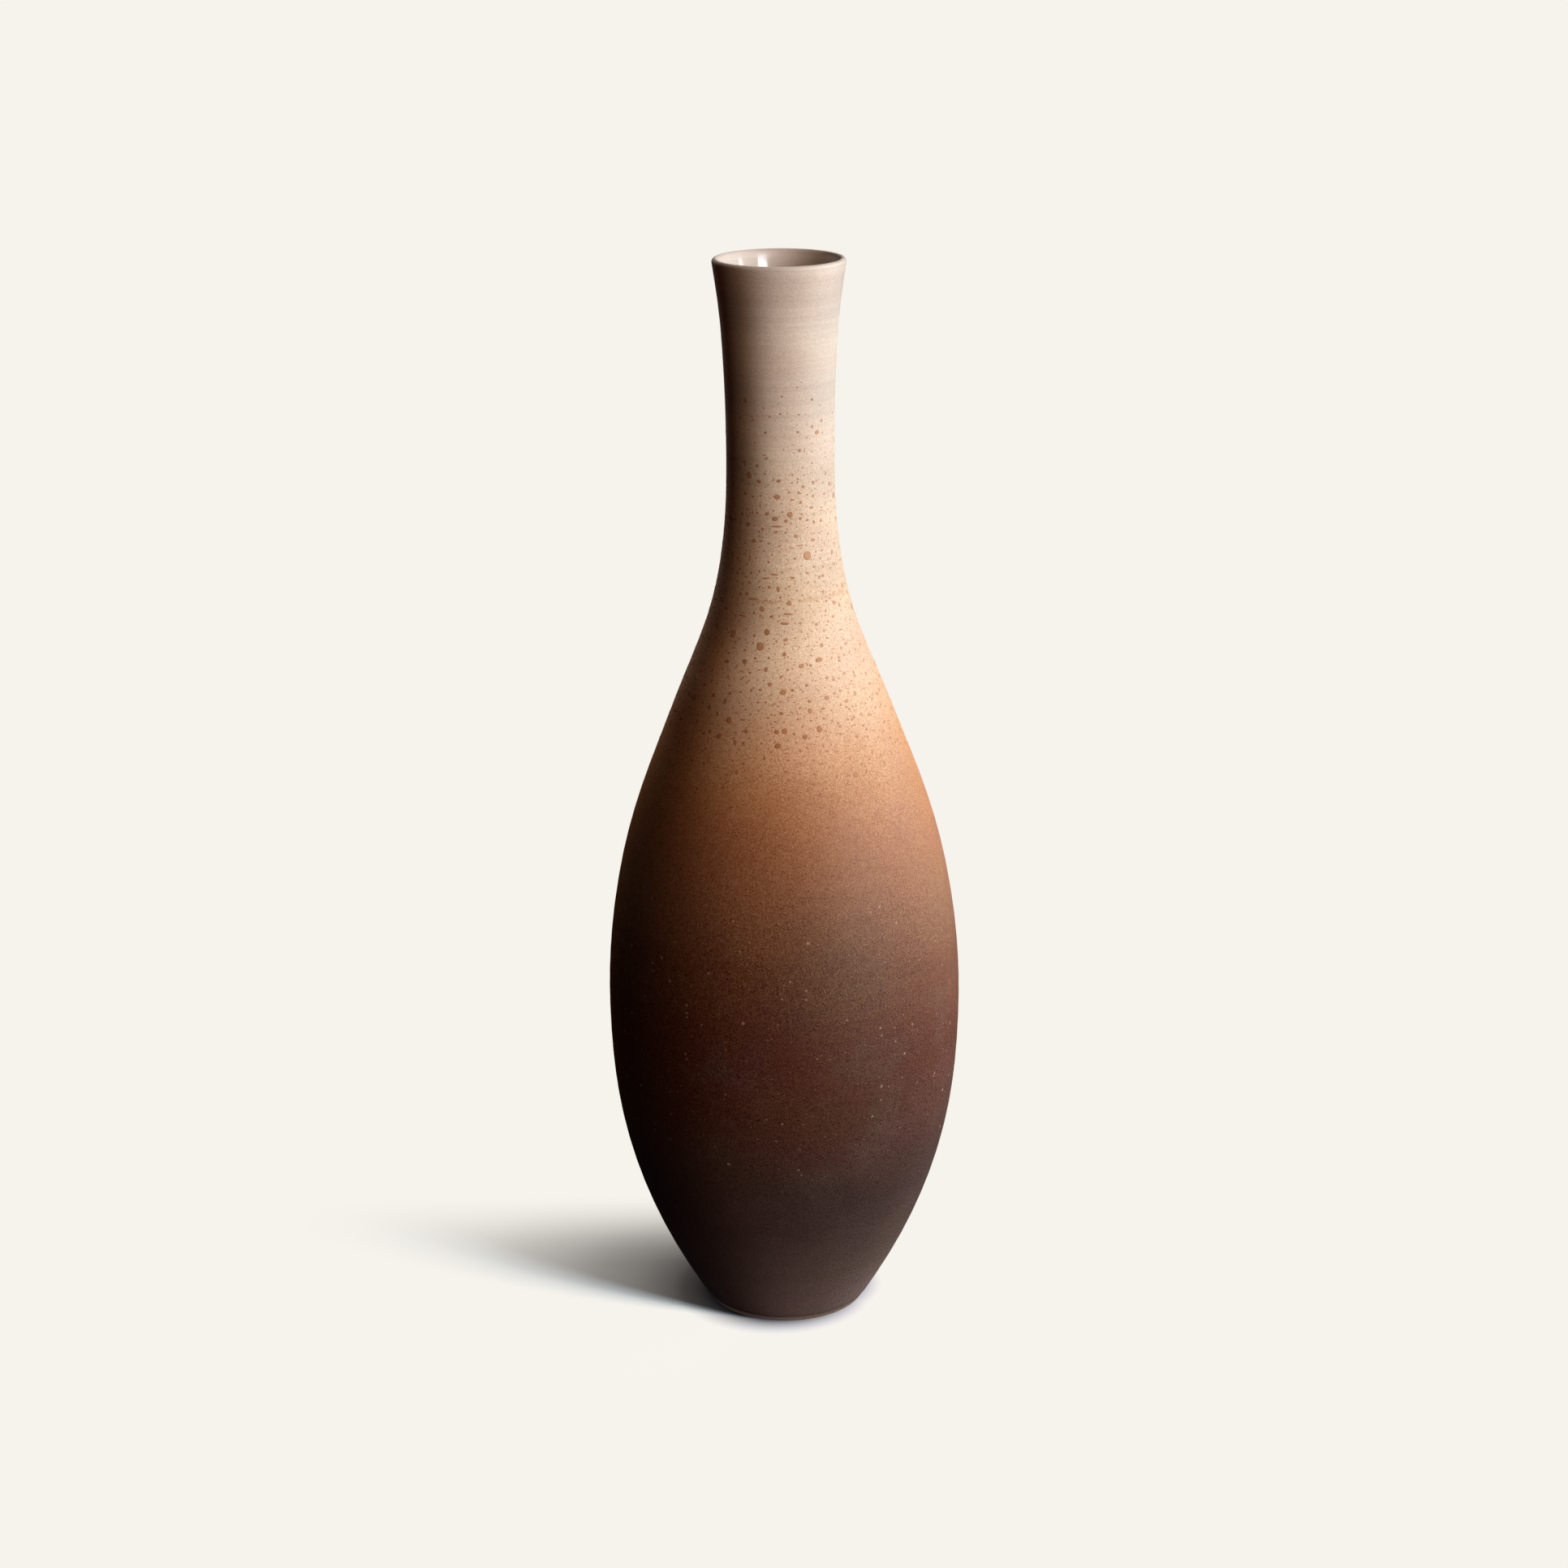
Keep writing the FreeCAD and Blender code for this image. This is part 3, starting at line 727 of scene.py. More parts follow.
def outer_slip_material():
    m = Nodes("matt_sprayed_slip")
    col, z = slip_ground(m)
    g1, g2 = grain(m, z)
    x_, y_, _ = m.split(m.obj)[:3]
    on_neck = m.between(z, 0.262, 0.300)
    off_neck = m.math("SUBTRACT", 1.0, on_neck)

    # large soft blotches of warm, purple-brown and grey-brown iron on the dark body
    b1 = m.noise(m.vmath("ADD", m.obj, (3.1, 0.4, 1.7)), 24.0, 2.0, 0.5)
    b2 = m.noise(m.vmath("ADD", m.obj, (7.7, 5.2, 0.3)), 33.0, 2.0, 0.5)
    dark = m.between(z, 0.172, 0.118)
    col = m.mix(m.math("MULTIPLY", m.between(b1, 0.52, 0.70), m.math("MULTIPLY", dark, 0.22)), col, (0.100, 0.036, 0.036))
    col = m.mix(m.math("MULTIPLY", m.between(b2, 0.52, 0.70), m.math("MULTIPLY", dark, 0.26)), col, (0.085, 0.055, 0.036))

    def patch(height, azimuth, reach):
        """1 at that place on the surface, dying away smoothly over reach mm."""
        r = float(outer(height))
        a = math.radians(azimuth)
        nd = m.node("ShaderNodeVectorMath", operation="DISTANCE")
        m.put(nd.inputs[0], m.obj)
        m.put(nd.inputs[1], (r * math.cos(a) * MM, r * math.sin(a) * MM, height * MM))
        return m.between(nd.outputs["Value"], reach * MM, 0.0)

    # tone patches (height mm, azimuth deg, reach mm, colour gain), partly real variation in the slip and partly painted
    # light and shade: painted sheen along the right edge of the belly, painted light on the front of the neck and
    # shoulder, painted shade down both sides of the neck, on the left of the shoulder, on the front of the belly and on
    # the lip's right crest
    for height, azimuth, reach, gain in ((262, -94, 26, (1.21, 1.25, 1.22)), (274, -122, 16, (0.92, 0.87, 0.83)),
                                         (255, -134, 17, (1.12, 1.07, 1.00)), (262, -160, 24, (0.95, 0.76, 0.64)),
                                         (262, -22, 28, (0.90, 0.83, 0.83)), (236, -82, 20, (1.10, 1.10, 1.14)),
                                         (292, -84, 20, (1.12, 1.17, 1.17)), (322, -88, 20, (1.14, 1.16, 1.13)),
                                         (345, -84, 18, (1.07, 1.08, 1.06)), (374, -84, 18, (1.09, 1.10, 1.09)),
                                         (330, -138, 16, (0.76, 0.80, 0.82)), (356, -138, 16, (0.74, 0.78, 0.80)),
                                         (384, -136, 15, (0.78, 0.82, 0.86)), (322, -34, 18, (0.86, 0.86, 0.89)),
                                         (352, -34, 18, (0.86, 0.87, 0.89)), (382, -32, 17, (0.87, 0.88, 0.89)),
                                         (292, -36, 20, (0.84, 0.83, 0.88)), (228, -28, 28, (0.90, 0.92, 0.95)),
                                         (222, -84, 24, (1.02, 1.06, 1.16)), (132, -92, 30, (0.87, 0.83, 0.93)),
                                         (60, -76, 24, (0.80, 0.80, 0.90)), (398, 0, 22, (0.80, 0.79, 0.80)),
                                         (334, -112, 14, (1.12, 1.14, 1.12)), (360, -114, 13, (1.09, 1.10, 1.08)),
                                         (236, -156, 24, (0.86, 0.70, 0.56)), (202, -26, 26, (0.92, 0.95, 0.99)),
                                         (170, -22, 32, (1.05, 1.22, 1.32)), (134, -22, 34, (1.14, 1.14, 1.22)),
                                         (94, -22, 34, (1.18, 1.28, 1.36)), (64, -26, 26, (1.18, 1.24, 1.32)),
                                         (246, 60, 34, (1.05, 1.08, 1.08)), (270, 150, 26, (0.93, 0.90, 0.88)),
                                         (340, 95, 22, (1.04, 1.05, 1.05))):
        w = patch(height, azimuth, reach)
        col = m.mix(w, col, m.mix(1.0, col, gain, "MULTIPLY"))
    # reduced, olive-grey patches on the belly
    for height, azimuth, reach, share in ((150, -74, 36, 0.30), (70, -118, 30, 0.22), (120, 74, 36, 0.26), (92, 178, 30, 0.22)):
        col = m.mix(m.math("MULTIPLY", patch(height, azimuth, reach), share), col, (0.095, 0.053, 0.026))

    # brushed and thrown lines on the neck: long level streaks, warm and cool
    s1 = m.noise(m.stretch((9.0, 9.0, 520.0)), 1.0, 3.0, 0.6)
    s2 = m.noise(m.stretch((26.0, 26.0, 1500.0)), 1.0, 2.0, 0.6)
    s3 = m.noise(m.stretch((6.0, 6.0, 150.0)), 1.0, 2.0, 0.5)
    streak = m.math("ADD", m.math("MULTIPLY", m.math("SUBTRACT", s1, 0.46), 0.26),
                    m.math("MULTIPLY", m.math("SUBTRACT", s2, 0.5), 0.20))
    streak = m.math("ADD", streak, m.math("MULTIPLY", m.math("SUBTRACT", s3, 0.5), 0.14))
    amount = m.math("ADD", m.math("MULTIPLY", on_neck, 0.85), 0.10)
    streak = m.math("MULTIPLY", streak, amount)
    tint = m.math("MULTIPLY", m.math("SUBTRACT", m.noise(m.stretch((14.0, 14.0, 210.0)), 1.0, 2.0, 0.5), 0.5), on_neck)
    col = m.mix(m.between(tint, -0.16, 0.16, 0.0, 0.30), col, m.mix(1.0, col, (0.97, 0.90, 0.90), "MULTIPLY"))

    # sprayed grain: how strongly each colour varies, in percent, by height
    amp = m.ramp(m.math("DIVIDE", z, 0.4), [(h / 400.0, tuple(v / 30.0 for v in c)) for h, c in GRAIN])
    n1 = m.noise(m.obj, 1600.0, 1.0, 0.7)
    n2 = m.noise(m.vmath("ADD", m.obj, (0.31, 0.17, 0.53)), 2600.0, 0.0)
    n3 = m.noise(m.vmath("ADD", m.obj, (0.71, 0.37, 0.13)), 430.0, 1.0, 0.5)
    spread = m.math("ADD", m.math("ADD", m.math("MULTIPLY", m.math("SUBTRACT", n1, 0.5), 4.3), m.math("MULTIPLY", m.math("SUBTRACT", n2, 0.5), 3.6)),
                    m.math("MULTIPLY", m.math("SUBTRACT", n3, 0.5), 0.9))
    vary = m.scale(amp, spread)
    vary = m.vmath("ADD", vary, (1.0, 1.0, 1.0))
    lines = m.node("ShaderNodeCombineXYZ")
    for i in range(3):
        m.put(lines.inputs[i], m.math("ADD", 1.0, m.math("MULTIPLY", streak, (0.85, 1.0, 1.12)[i])))
    vary = m.vmath("MULTIPLY", vary, lines.outputs[0])
    col = m.vmath("MULTIPLY", col, vary)

    # pepper: fine spatter too small to stand proud
    warp = m.scale(m.vmath("SUBTRACT", m.noise(m.obj, 1500.0, 1.0, 0.5, colour=True), (0.5, 0.5, 0.5)), 0.00060)
    at = m.vmath("ADD", m.obj, warp)
    clump = m.noise(m.obj, 95.0, 2.0, 0.6)
    band = m.math("MULTIPLY", m.between(z, 0.204, 0.236), m.between(z, 0.352, 0.318))
    band = m.math("ADD", band, m.math("MULTIPLY", m.math("MULTIPLY", m.between(z, 0.300, 0.318), m.between(z, 0.368, 0.335)), 0.22), clamp=True)
    band = m.math("MULTIPLY", band, m.between(clump, 0.28, 0.66, 0.35, 1.15))

    def speck(scale, most, share, where, vec=at, edge=0.06):
        dist, rnd = m.cells(vec, scale)
        a, b, _ = m.rgb(rnd)[:3]
        has = m.math("LESS_THAN", b, m.math("MULTIPLY", where, share))
        size = m.math("MULTIPLY", m.math("ADD", m.math("MULTIPLY", m.math("POWER", a, 1.6), 0.75), 0.25), most)
        edge_at = m.math("SUBTRACT", size, edge)
        return m.math("MULTIPLY", m.between(dist, edge_at, size, 1.0, 0.0), has)

    p1 = speck(1700.0, 0.42, 0.55, band, edge=0.12)
    p2 = speck(800.0, 0.40, 0.62, band, edge=0.08)
    p3 = speck(430.0, 0.34, 0.34, band)
    level = m.node("ShaderNodeVectorMath", operation="MULTIPLY")
    m.put(level.inputs[0], at)
    m.put(level.inputs[1], (1.0, 1.0, 3.6))
    p4 = speck(420.0, 0.34, 0.30, band, vec=level.outputs[0])
    spots = m.math("MAXIMUM", m.math("MULTIPLY", p1, 0.80), m.math("MAXIMUM", m.math("MULTIPLY", p2, 1.0), m.math("MAXIMUM", p3, p4)))
    spot_col = m.mix(1.0, col, (0.64, 0.45, 0.325), "MULTIPLY")
    col = m.mix(m.math("MULTIPLY", spots, 0.95), col, spot_col)

    # dark iron pepper, very sparse, everywhere on the body
    iron = speck(520.0, 0.22, 0.05, m.math("ADD", m.math("MULTIPLY", off_neck, 0.8), 0.2))
    col = m.mix(m.math("MULTIPLY", iron, 0.55), col, m.mix(1.0, col, (0.42, 0.34, 0.30), "MULTIPLY"))

    # pale feldspar flecks showing through on the belly
    fleck_band = m.math("MULTIPLY", m.between(z, 0.062, 0.105), m.between(z, 0.205, 0.155))
    f1 = speck(340.0, 0.25, 0.33, fleck_band)
    f2 = speck(900.0, 0.30, 0.18, fleck_band)
    col = m.mix(m.math("MULTIPLY", m.math("MAXIMUM", f1, m.math("MULTIPLY", f2, 0.80)), 0.52), col, (0.43, 0.27, 0.20))

    # hairline scratches in the belly's skin: (azimuth, height) from and to, bowed by a fraction of a millimetre
    turn = m.math("ARCTAN2", y_, x_)
    for a0, z0, a1, z1 in SCRATCHES:
        a0, a1, z0, z1 = math.radians(a0), math.radians(a1), z0 * MM, z1 * MM
        along = m.math("DIVIDE", m.math("SUBTRACT", turn, a0), a1 - a0)
        at_z = m.math("ADD", z0, m.math("MULTIPLY", along, z1 - z0))
        at_z = m.math("ADD", at_z, m.math("MULTIPLY", m.math("SUBTRACT", m.noise(m.obj, 90.0, 1.0, 0.5), 0.5), 0.0030))
        off = m.math("ABSOLUTE", m.math("SUBTRACT", z, at_z))
        ends = m.math("MULTIPLY", m.between(along, 0.0, 0.25), m.between(along, 1.0, 0.75))
        hair = m.math("MULTIPLY", m.between(off, 0.00032, 0.00008), ends)
        col = m.mix(m.math("MULTIPLY", hair, 0.50), col, m.mix(1.0, col, (0.52, 0.42, 0.38), "MULTIPLY"))

    # fine darker line where the neck was joined on, broken along its length
    gap = m.math("ABSOLUTE", m.math("SUBTRACT", z, m.math("ADD", 0.2812, m.math("MULTIPLY", m.math("SUBTRACT", m.noise(m.obj, 60.0, 2.0, 0.5), 0.5), 0.0022))))
    line = m.math("MULTIPLY", m.between(gap, 0.0011, 0.0002), m.between(m.noise(m.obj, 130.0, 2.0, 0.6), 0.40, 0.62))
    col = m.mix(m.math("MULTIPLY", line, 0.55), col, m.mix(1.0, col, (0.78, 0.60, 0.48), "MULTIPLY"))

    # the lip's crest is painted a darker beige: painted shade that tones down the light it catches
    crest = m.between(z, 0.3978, 0.3995)
    col = m.mix(m.math("MULTIPLY", crest, 0.55), col, (0.57, 0.46, 0.38))
    m.put(m.bsdf.inputs["Base Color"], col)

    rough = m.math("ADD", 0.60, m.math("MULTIPLY", m.math("SUBTRACT", g2, 0.5), 0.16))
    rough = m.math("ADD", rough, m.math("MULTIPLY", m.math("SUBTRACT", s1, 0.5), m.math("MULTIPLY", on_neck, 0.10)))
    rough = m.math("SUBTRACT", rough, m.math("MULTIPLY", spots, 0.05))
    rough = m.math("SUBTRACT", rough, m.math("MULTIPLY", crest, 0.10))
    body = m.between(z, 0.225, 0.165)
    rough = m.math("ADD", rough, m.math("MULTIPLY", m.math("MULTIPLY", m.math("SUBTRACT", n1, 0.5), 0.24), body))
    m.put(m.bsdf.inputs["Roughness"], rough)
    m.bsdf.inputs["Specular IOR Level"].default_value = 0.5

    n = m.bump(m.math("MULTIPLY", n1, m.math("ADD", 1.0, m.math("MULTIPLY", body, 0.7))), 0.38, 0.00010)
    n = m.bump(g1, 0.24, 0.00007, n)
    n = m.bump(g2, 0.25, 0.00012, n)
    n = m.bump(m.math("MULTIPLY", m.math("ADD", s2, s1), m.math("ADD", m.math("MULTIPLY", on_neck, 0.9), 0.1)), 0.30, 0.00007, n)
    n = m.bump(spots, 0.25, 0.00004, n)
    m.put(m.bsdf.inputs["Normal"], n)
    return m.mat


def spatter_material():
    m = Nodes("spattered_brown_slip")
    col, z = slip_ground(m)
    rad = m.node("ShaderNodeAttribute", attribute_name="radial").outputs["Fac"]
    tone = m.node("ShaderNodeAttribute", attribute_name="tone").outputs["Fac"]
    g = m.noise(m.obj, 2300.0, 2.0, 0.6)
    body = m.mix(tone, (0.77, 0.55, 0.405), (0.64, 0.42, 0.28))
    rim = m.mix(tone, (0.66, 0.44, 0.31), (0.53, 0.325, 0.21))
    edge = m.math("MULTIPLY", m.between(rad, 0.45, 0.86), m.between(m.noise(m.obj, 900.0, 1.0, 0.5), 0.30, 0.60))
    fac = m.mix(edge, body, rim)
    # the drops melt into the darker slip lower down
    fac = m.mix(m.between(z, 0.236, 0.212), fac, (0.84, 0.74, 0.66))
    c = m.mix(1.0, col, fac, "MULTIPLY")
    c = m.mix(m.math("MULTIPLY", m.math("SUBTRACT", g, 0.35), 0.8, clamp=True), c, m.mix(1.0, c, (1.22, 1.20, 1.18), "MULTIPLY"))
    m.put(m.bsdf.inputs["Base Color"], c)
    m.put(m.bsdf.inputs["Roughness"], m.math("ADD", 0.52, m.math("MULTIPLY", m.math("SUBTRACT", g, 0.5), 0.15)))
    m.bsdf.inputs["Specular IOR Level"].default_value = 0.42
    m.put(m.bsdf.inputs["Normal"], m.bump(g, 0.2, 0.00005))
    return m.mat


def liner_material():
    m = Nodes("glossy_liner_glaze")
    z = m.split(m.obj)[2]
    cloud = m.noise(m.obj, 42.0, 3.0, 0.55)
    fine = m.noise(m.obj, 900.0, 2.0, 0.6)
    rings = m.noise(m.stretch((10.0, 10.0, 330.0)), 1.0, 2.0, 0.5)
    col = m.mix(m.between(cloud, 0.35, 0.68), (0.63, 0.525, 0.445), (0.675, 0.575, 0.495))
    col = m.mix(m.between(rings, 0.35, 0.70, 0.0, 0.45), col, (0.575, 0.475, 0.40))
    # painted shade: the inner wall on the +X side of the mouth, which faces away from the lights, is painted browner
    side = m.node("ShaderNodeVectorMath", operation="DISTANCE")
    m.put(side.inputs[0], m.obj)
    m.put(side.inputs[1], (0.0190, 0.0020, 0.384))
    col = m.mix(m.between(side.outputs["Value"], 0.0150, 0.0020, 0.0, 0.62), col, (0.33, 0.245, 0.18))
    # deeper down the glaze pools warmer and greener over the dark clay
    col = m.mix(m.between(z, 0.120, 0.015, 0.0, 0.55), col, (0.40, 0.31, 0.23))
    dist, rnd = m.cells(m.obj, 520.0)
    a, b, _ = m.rgb(rnd)[:3]
    speck = m.math("MULTIPLY", m.between(dist, 0.05, 0.18, 1.0, 0.0), m.math("LESS_THAN", b, 0.10))
    col = m.mix(m.math("MULTIPLY", speck, 0.40), col, (0.36, 0.23, 0.15))
    # the lip's crest inside is painted a darker beige, painted shade that tones down its highlight; it is also made
    # rougher and loses the clear coat
    crest = m.between(z, 0.3962, 0.3990)
    col = m.mix(m.math("MULTIPLY", crest, 0.6), col, (0.57, 0.46, 0.385))
    # painted light: just inside the lip on the +X side the glaze is painted paler, standing in for light falling on the
    # lip's inner edge
    side = m.node("ShaderNodeVectorMath", operation="DISTANCE")
    m.put(side.inputs[0], m.obj)
    m.put(side.inputs[1], (0.0212, 0.0, 0.3985))
    painted_lip_light = m.math("MULTIPLY", m.between(side.outputs["Value"], 0.0200, 0.0060), m.between(z, 0.3952, 0.3976))
    col = m.mix(m.math("MULTIPLY", painted_lip_light, 0.75), col, (0.86, 0.74, 0.64))
    m.put(m.bsdf.inputs["Base Color"], col)
    m.put(m.bsdf.inputs["Roughness"], m.math("ADD", m.between(fine, 0.3, 0.7, 0.10, 0.17), m.math("MULTIPLY", crest, 0.36)))
    m.bsdf.inputs["Specular IOR Level"].default_value = 0.55
    m.put(m.bsdf.inputs["Coat Weight"], m.math("MULTIPLY", m.math("SUBTRACT", 1.0, crest), 0.35))
    m.bsdf.inputs["Coat Roughness"].default_value = 0.06
    n = m.bump(m.noise(m.obj, 260.0, 2.0, 0.5), 0.12, 0.00012)
    m.put(m.bsdf.inputs["Normal"], n)
    return m.mat


def clay_material():
    m = Nodes("bare_dark_stoneware")
    z = m.split(m.obj)[2]
    big = m.noise(m.obj, 55.0, 3.0, 0.6)
    fine = m.noise(m.obj, 1600.0, 3.0, 0.65)
    col = m.mix(m.between(big, 0.35, 0.68), (0.120, 0.074, 0.056), (0.165, 0.100, 0.074))
    col = m.mix(m.between(fine, 0.35, 0.70, 0.0, 0.55), col, (0.225, 0.145, 0.105))
    # grog: pale and dark grains
    dist, rnd = m.cells(m.obj, 700.0)
    a, b, c = m.rgb(rnd)[:3]
    pale = m.math("MULTIPLY", m.between(dist, 0.10, 0.24, 1.0, 0.0), m.math("LESS_THAN", b, 0.12))
    col = m.mix(m.math("MULTIPLY", pale, 0.6), col, (0.46, 0.34, 0.25))
    dist2, rnd2 = m.cells(m.obj, 430.0)
    a2, b2, c2 = m.rgb(rnd2)[:3]
    iron = m.math("MULTIPLY", m.between(dist2, 0.05, 0.16, 1.0, 0.0), m.math("LESS_THAN", b2, 0.10))
    col = m.mix(m.math("MULTIPLY", iron, 0.7), col, (0.035, 0.022, 0.018))
    # the standing edge is rubbed smooth and a little paler
    worn = m.between(z, 0.0030, 0.0014)
    col = m.mix(m.math("MULTIPLY", worn, 0.50), col, (0.20, 0.140, 0.115))
    m.put(m.bsdf.inputs["Base Color"], col)
    m.put(m.bsdf.inputs["Roughness"], m.math("SUBTRACT", m.between(fine, 0.3, 0.7, 0.74, 0.90), m.math("MULTIPLY", worn, 0.18)))
    m.bsdf.inputs["Specular IOR Level"].default_value = 0.35
    n = m.bump(fine, 0.45, 0.00012)
    n = m.bump(pale, 0.4, 0.00006, n)
    n = m.bump(iron, -0.4, 0.00008, n)
    m.put(m.bsdf.inputs["Normal"], n)
    return m.mat


def bond_material():
    m = Nodes("fired_joining_slip")
    fine = m.noise(m.obj, 1400.0, 3.0, 0.6)
    big = m.noise(m.stretch((40.0, 40.0, 300.0)), 1.0, 2.0, 0.5)
    col = m.mix(m.between(big, 0.35, 0.7), (0.16, 0.098, 0.070), (0.21, 0.135, 0.098))
    col = m.mix(m.between(fine, 0.35, 0.7, 0.0, 0.5), col, (0.27, 0.18, 0.13))
    m.put(m.bsdf.inputs["Base Color"], col)
    m.put(m.bsdf.inputs["Roughness"], m.between(fine, 0.3, 0.7, 0.78, 0.92))
    m.bsdf.inputs["Specular IOR Level"].default_value = 0.3
    m.put(m.bsdf.inputs["Normal"], m.bump(fine, 0.35, 0.0001))
    return m.mat


mat_slip = outer_slip_material()
mat_spatter = spatter_material()
mat_liner = liner_material()
mat_clay = clay_material()
mat_bond = bond_material()


def wear(ob, mat):
    ob.data.materials.clear()
    ob.data.materials.append(mat)


wear(coat, mat_slip)
wear(spatter, mat_spatter)
wear(liner, mat_liner)
wear(foot, mat_clay)
for node, ob in frame["nodes"].items():
    wear(ob, {"outer_slip_coat": mat_slip, "liner_glaze": mat_liner, "belly_joint_slip": mat_bond,
              "neck_joint_slip": mat_bond}.get(node, mat_clay))

for piece, node, slot in ((coat, "outer_slip_coat", "outer_slip"), (liner, "liner_glaze", "liner_glaze"),
                          (foot, "lower_body_section", "dark_stoneware")):
    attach(piece, "root")
    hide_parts(node)
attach(spatter, "root")

# ------------------------------------------------------------------ floor
floor = add_mesh("studio_floor", [(-14, -6, 0), (14, -6, 0), (14, 22, 0), (-14, 22, 0)], [(0, 1, 2, 3)], smooth=False)
floor.location.z = -0.00002
PALE = (0.9216, 0.8963, 0.8388)
fm = Nodes("pale_studio_floor")
fm.t.nodes.remove(fm.bsdf)
geo = fm.node("ShaderNodeNewGeometry")
fx, fy, _ = fm.split(geo.outputs["Position"])[:3]
dist = fm.math("SQRT", fm.math("ADD", fm.math("MULTIPLY", fx, fx), fm.math("MULTIPLY", fy, fy)))
# painted shadow fade: away from the foot and towards the back the floor turns into a shadowless glowing pale, so the
# cast shadow dies away
away = fm.ramp(fm.math("DIVIDE", dist, 0.22), [(d / 220.0, (v, v, v)) for d, v in (
    (40, 0.94), (46, 0.90), (60, 0.80), (73, 0.73), (80, 0.68), (90, 0.60), (110, 0.47), (130, 0.32),
    (155, 0.22), (177, 0.16), (200, 0.06), (214, 0.0))])
back = fm.ramp(fm.math("DIVIDE", fm.math("ADD", fy, 0.02), 0.12), [((y + 20) / 120.0, (v, v, v)) for y, v in (
    (22, 1.0), (34, 0.94), (44, 0.82), (54, 0.60), (64, 0.36), (72, 0.18), (78, 0.06), (84, 0.0))])
# painted contact shade darkens the floor next to the foot, least on the lit side
lit = fm.math("DIVIDE", fm.math("ADD", fm.math("MULTIPLY", fx, math.cos(math.radians(-25))), fm.math("MULTIPLY", fy, math.sin(math.radians(-25)))), dist)
turn = fm.math("SQRT", fm.math("SUBTRACT", 1.0001, lit))
mask = fm.math("MULTIPLY", fm.math("MULTIPLY", away, back), fm.between(lit, 0.15, -0.20))
reach = fm.math("ADD", 0.0063, fm.math("MULTIPLY", turn, 0.0070))
depth = fm.math("ADD", 0.42, fm.math("MULTIPLY", turn, 0.62), clamp=True)
gap = fm.math("SUBTRACT", 1.0, fm.math("DIVIDE", fm.math("SUBTRACT", dist, 0.0287), reach), clamp=True)
painted_shade_amount = fm.math("MULTIPLY", fm.math("POWER", gap, 1.3), depth)
# the painted contact shade is bluer at its edge than at its heart, and less blue on the shadow side
blue = fm.math("SUBTRACT", 1.0, fm.math("MULTIPLY", painted_shade_amount, fm.math("MINIMUM", 0.94, fm.math("ADD", fm.math("ADD", 0.46, fm.between(lit, 0.05, -0.45, 0.0, 0.42)), fm.math("MULTIPLY", painted_shade_amount, 0.85)))))
painted_contact_shade = fm.node("ShaderNodeCombineXYZ")
fm.put(painted_contact_shade.inputs[0], fm.math("SUBTRACT", 1.0, painted_shade_amount))
fm.put(painted_contact_shade.inputs[1], fm.math("SUBTRACT", 1.0, fm.math("MULTIPLY", painted_shade_amount, 0.99)))
fm.put(painted_contact_shade.inputs[2], blue)
painted_contact_shade = painted_contact_shade.outputs[0]
grainy = fm.noise(geo.outputs["Position"], 260.0, 2.0, 0.5)
pale = fm.mix(fm.between(grainy, 0.3, 0.7, 0.0, 0.02), PALE, (0.90, 0.875, 0.815))
pale = fm.mix(1.0, pale, painted_contact_shade, "MULTIPLY")
diff = fm.node("ShaderNodeBsdfDiffuse")
fm.put(diff.inputs["Color"], fm.mix(1.0, pale, (0.90, 0.90, 0.90), "MULTIPLY"))
glow = fm.node("ShaderNodeEmission")
fm.put(glow.inputs["Color"], pale)
glow.inputs["Strength"].default_value = 1.0
both = fm.node("ShaderNodeMixShader")
fm.put(both.inputs[0], mask)
fm.t.links.new(glow.outputs[0], both.inputs[1])
fm.t.links.new(diff.outputs[0], both.inputs[2])
# from underneath the floor is not there, so the foot can be looked at
clear = fm.node("ShaderNodeBsdfTransparent")
under = fm.node("ShaderNodeMixShader")
fm.put(under.inputs[0], geo.outputs["Backfacing"])
fm.t.links.new(both.outputs[0], under.inputs[1])
fm.t.links.new(clear.outputs[0], under.inputs[2])
fm.t.links.new(under.outputs[0], fm.out.inputs[0])
floor.data.materials.append(fm.mat)
floor.visible_diffuse = False
floor.visible_glossy = False
floor.visible_shadow = False

# ------------------------------------------------------------------ light
vase_group = bpy.data.collections.new("vase_light_group")
scene.collection.children.link(vase_group)
for ob in list(scene.objects):
    if ob.type == "MESH" and ob is not floor and ob is not liner:
        vase_group.objects.link(ob)
glaze_group = bpy.data.collections.new("glaze_light_group")
scene.collection.children.link(glaze_group)
glaze_group.objects.link(liner)
floor_group = bpy.data.collections.new("floor_light_group")
scene.collection.children.link(floor_group)
floor_group.objects.link(floor)


def aim(ob, azimuth, elevation, distance=2.0, target=(0, 0, 0.2)):
    """Puts a light at that azimuth (degrees, anticlockwise from +X) and elevation, facing the target."""
    a, e = math.radians(azimuth), math.radians(elevation)
    d = Vector((math.cos(e) * math.cos(a), math.cos(e) * math.sin(a), math.sin(e)))
    ob.location = Vector(target) + d * distance
    ob.rotation_euler = d.to_track_quat("Z", "Y").to_euler()


def sun(name, azimuth, elevation, radius, colour, strength, group):
    li = bpy.data.lights.new(name, "SUN")
    li.angle = math.radians(2 * radius)
    li.color = colour
    li.energy = strength * math.pi
    ob = bpy.data.objects.new(name, li)
    scene.collection.objects.link(ob)
    aim(ob, azimuth, elevation)
    if group is not None:
        ob.light_linking.receiver_collection = group
    return ob


def tone(rgb):
    top = max(rgb)
    return tuple(c / top for c in rgb), top


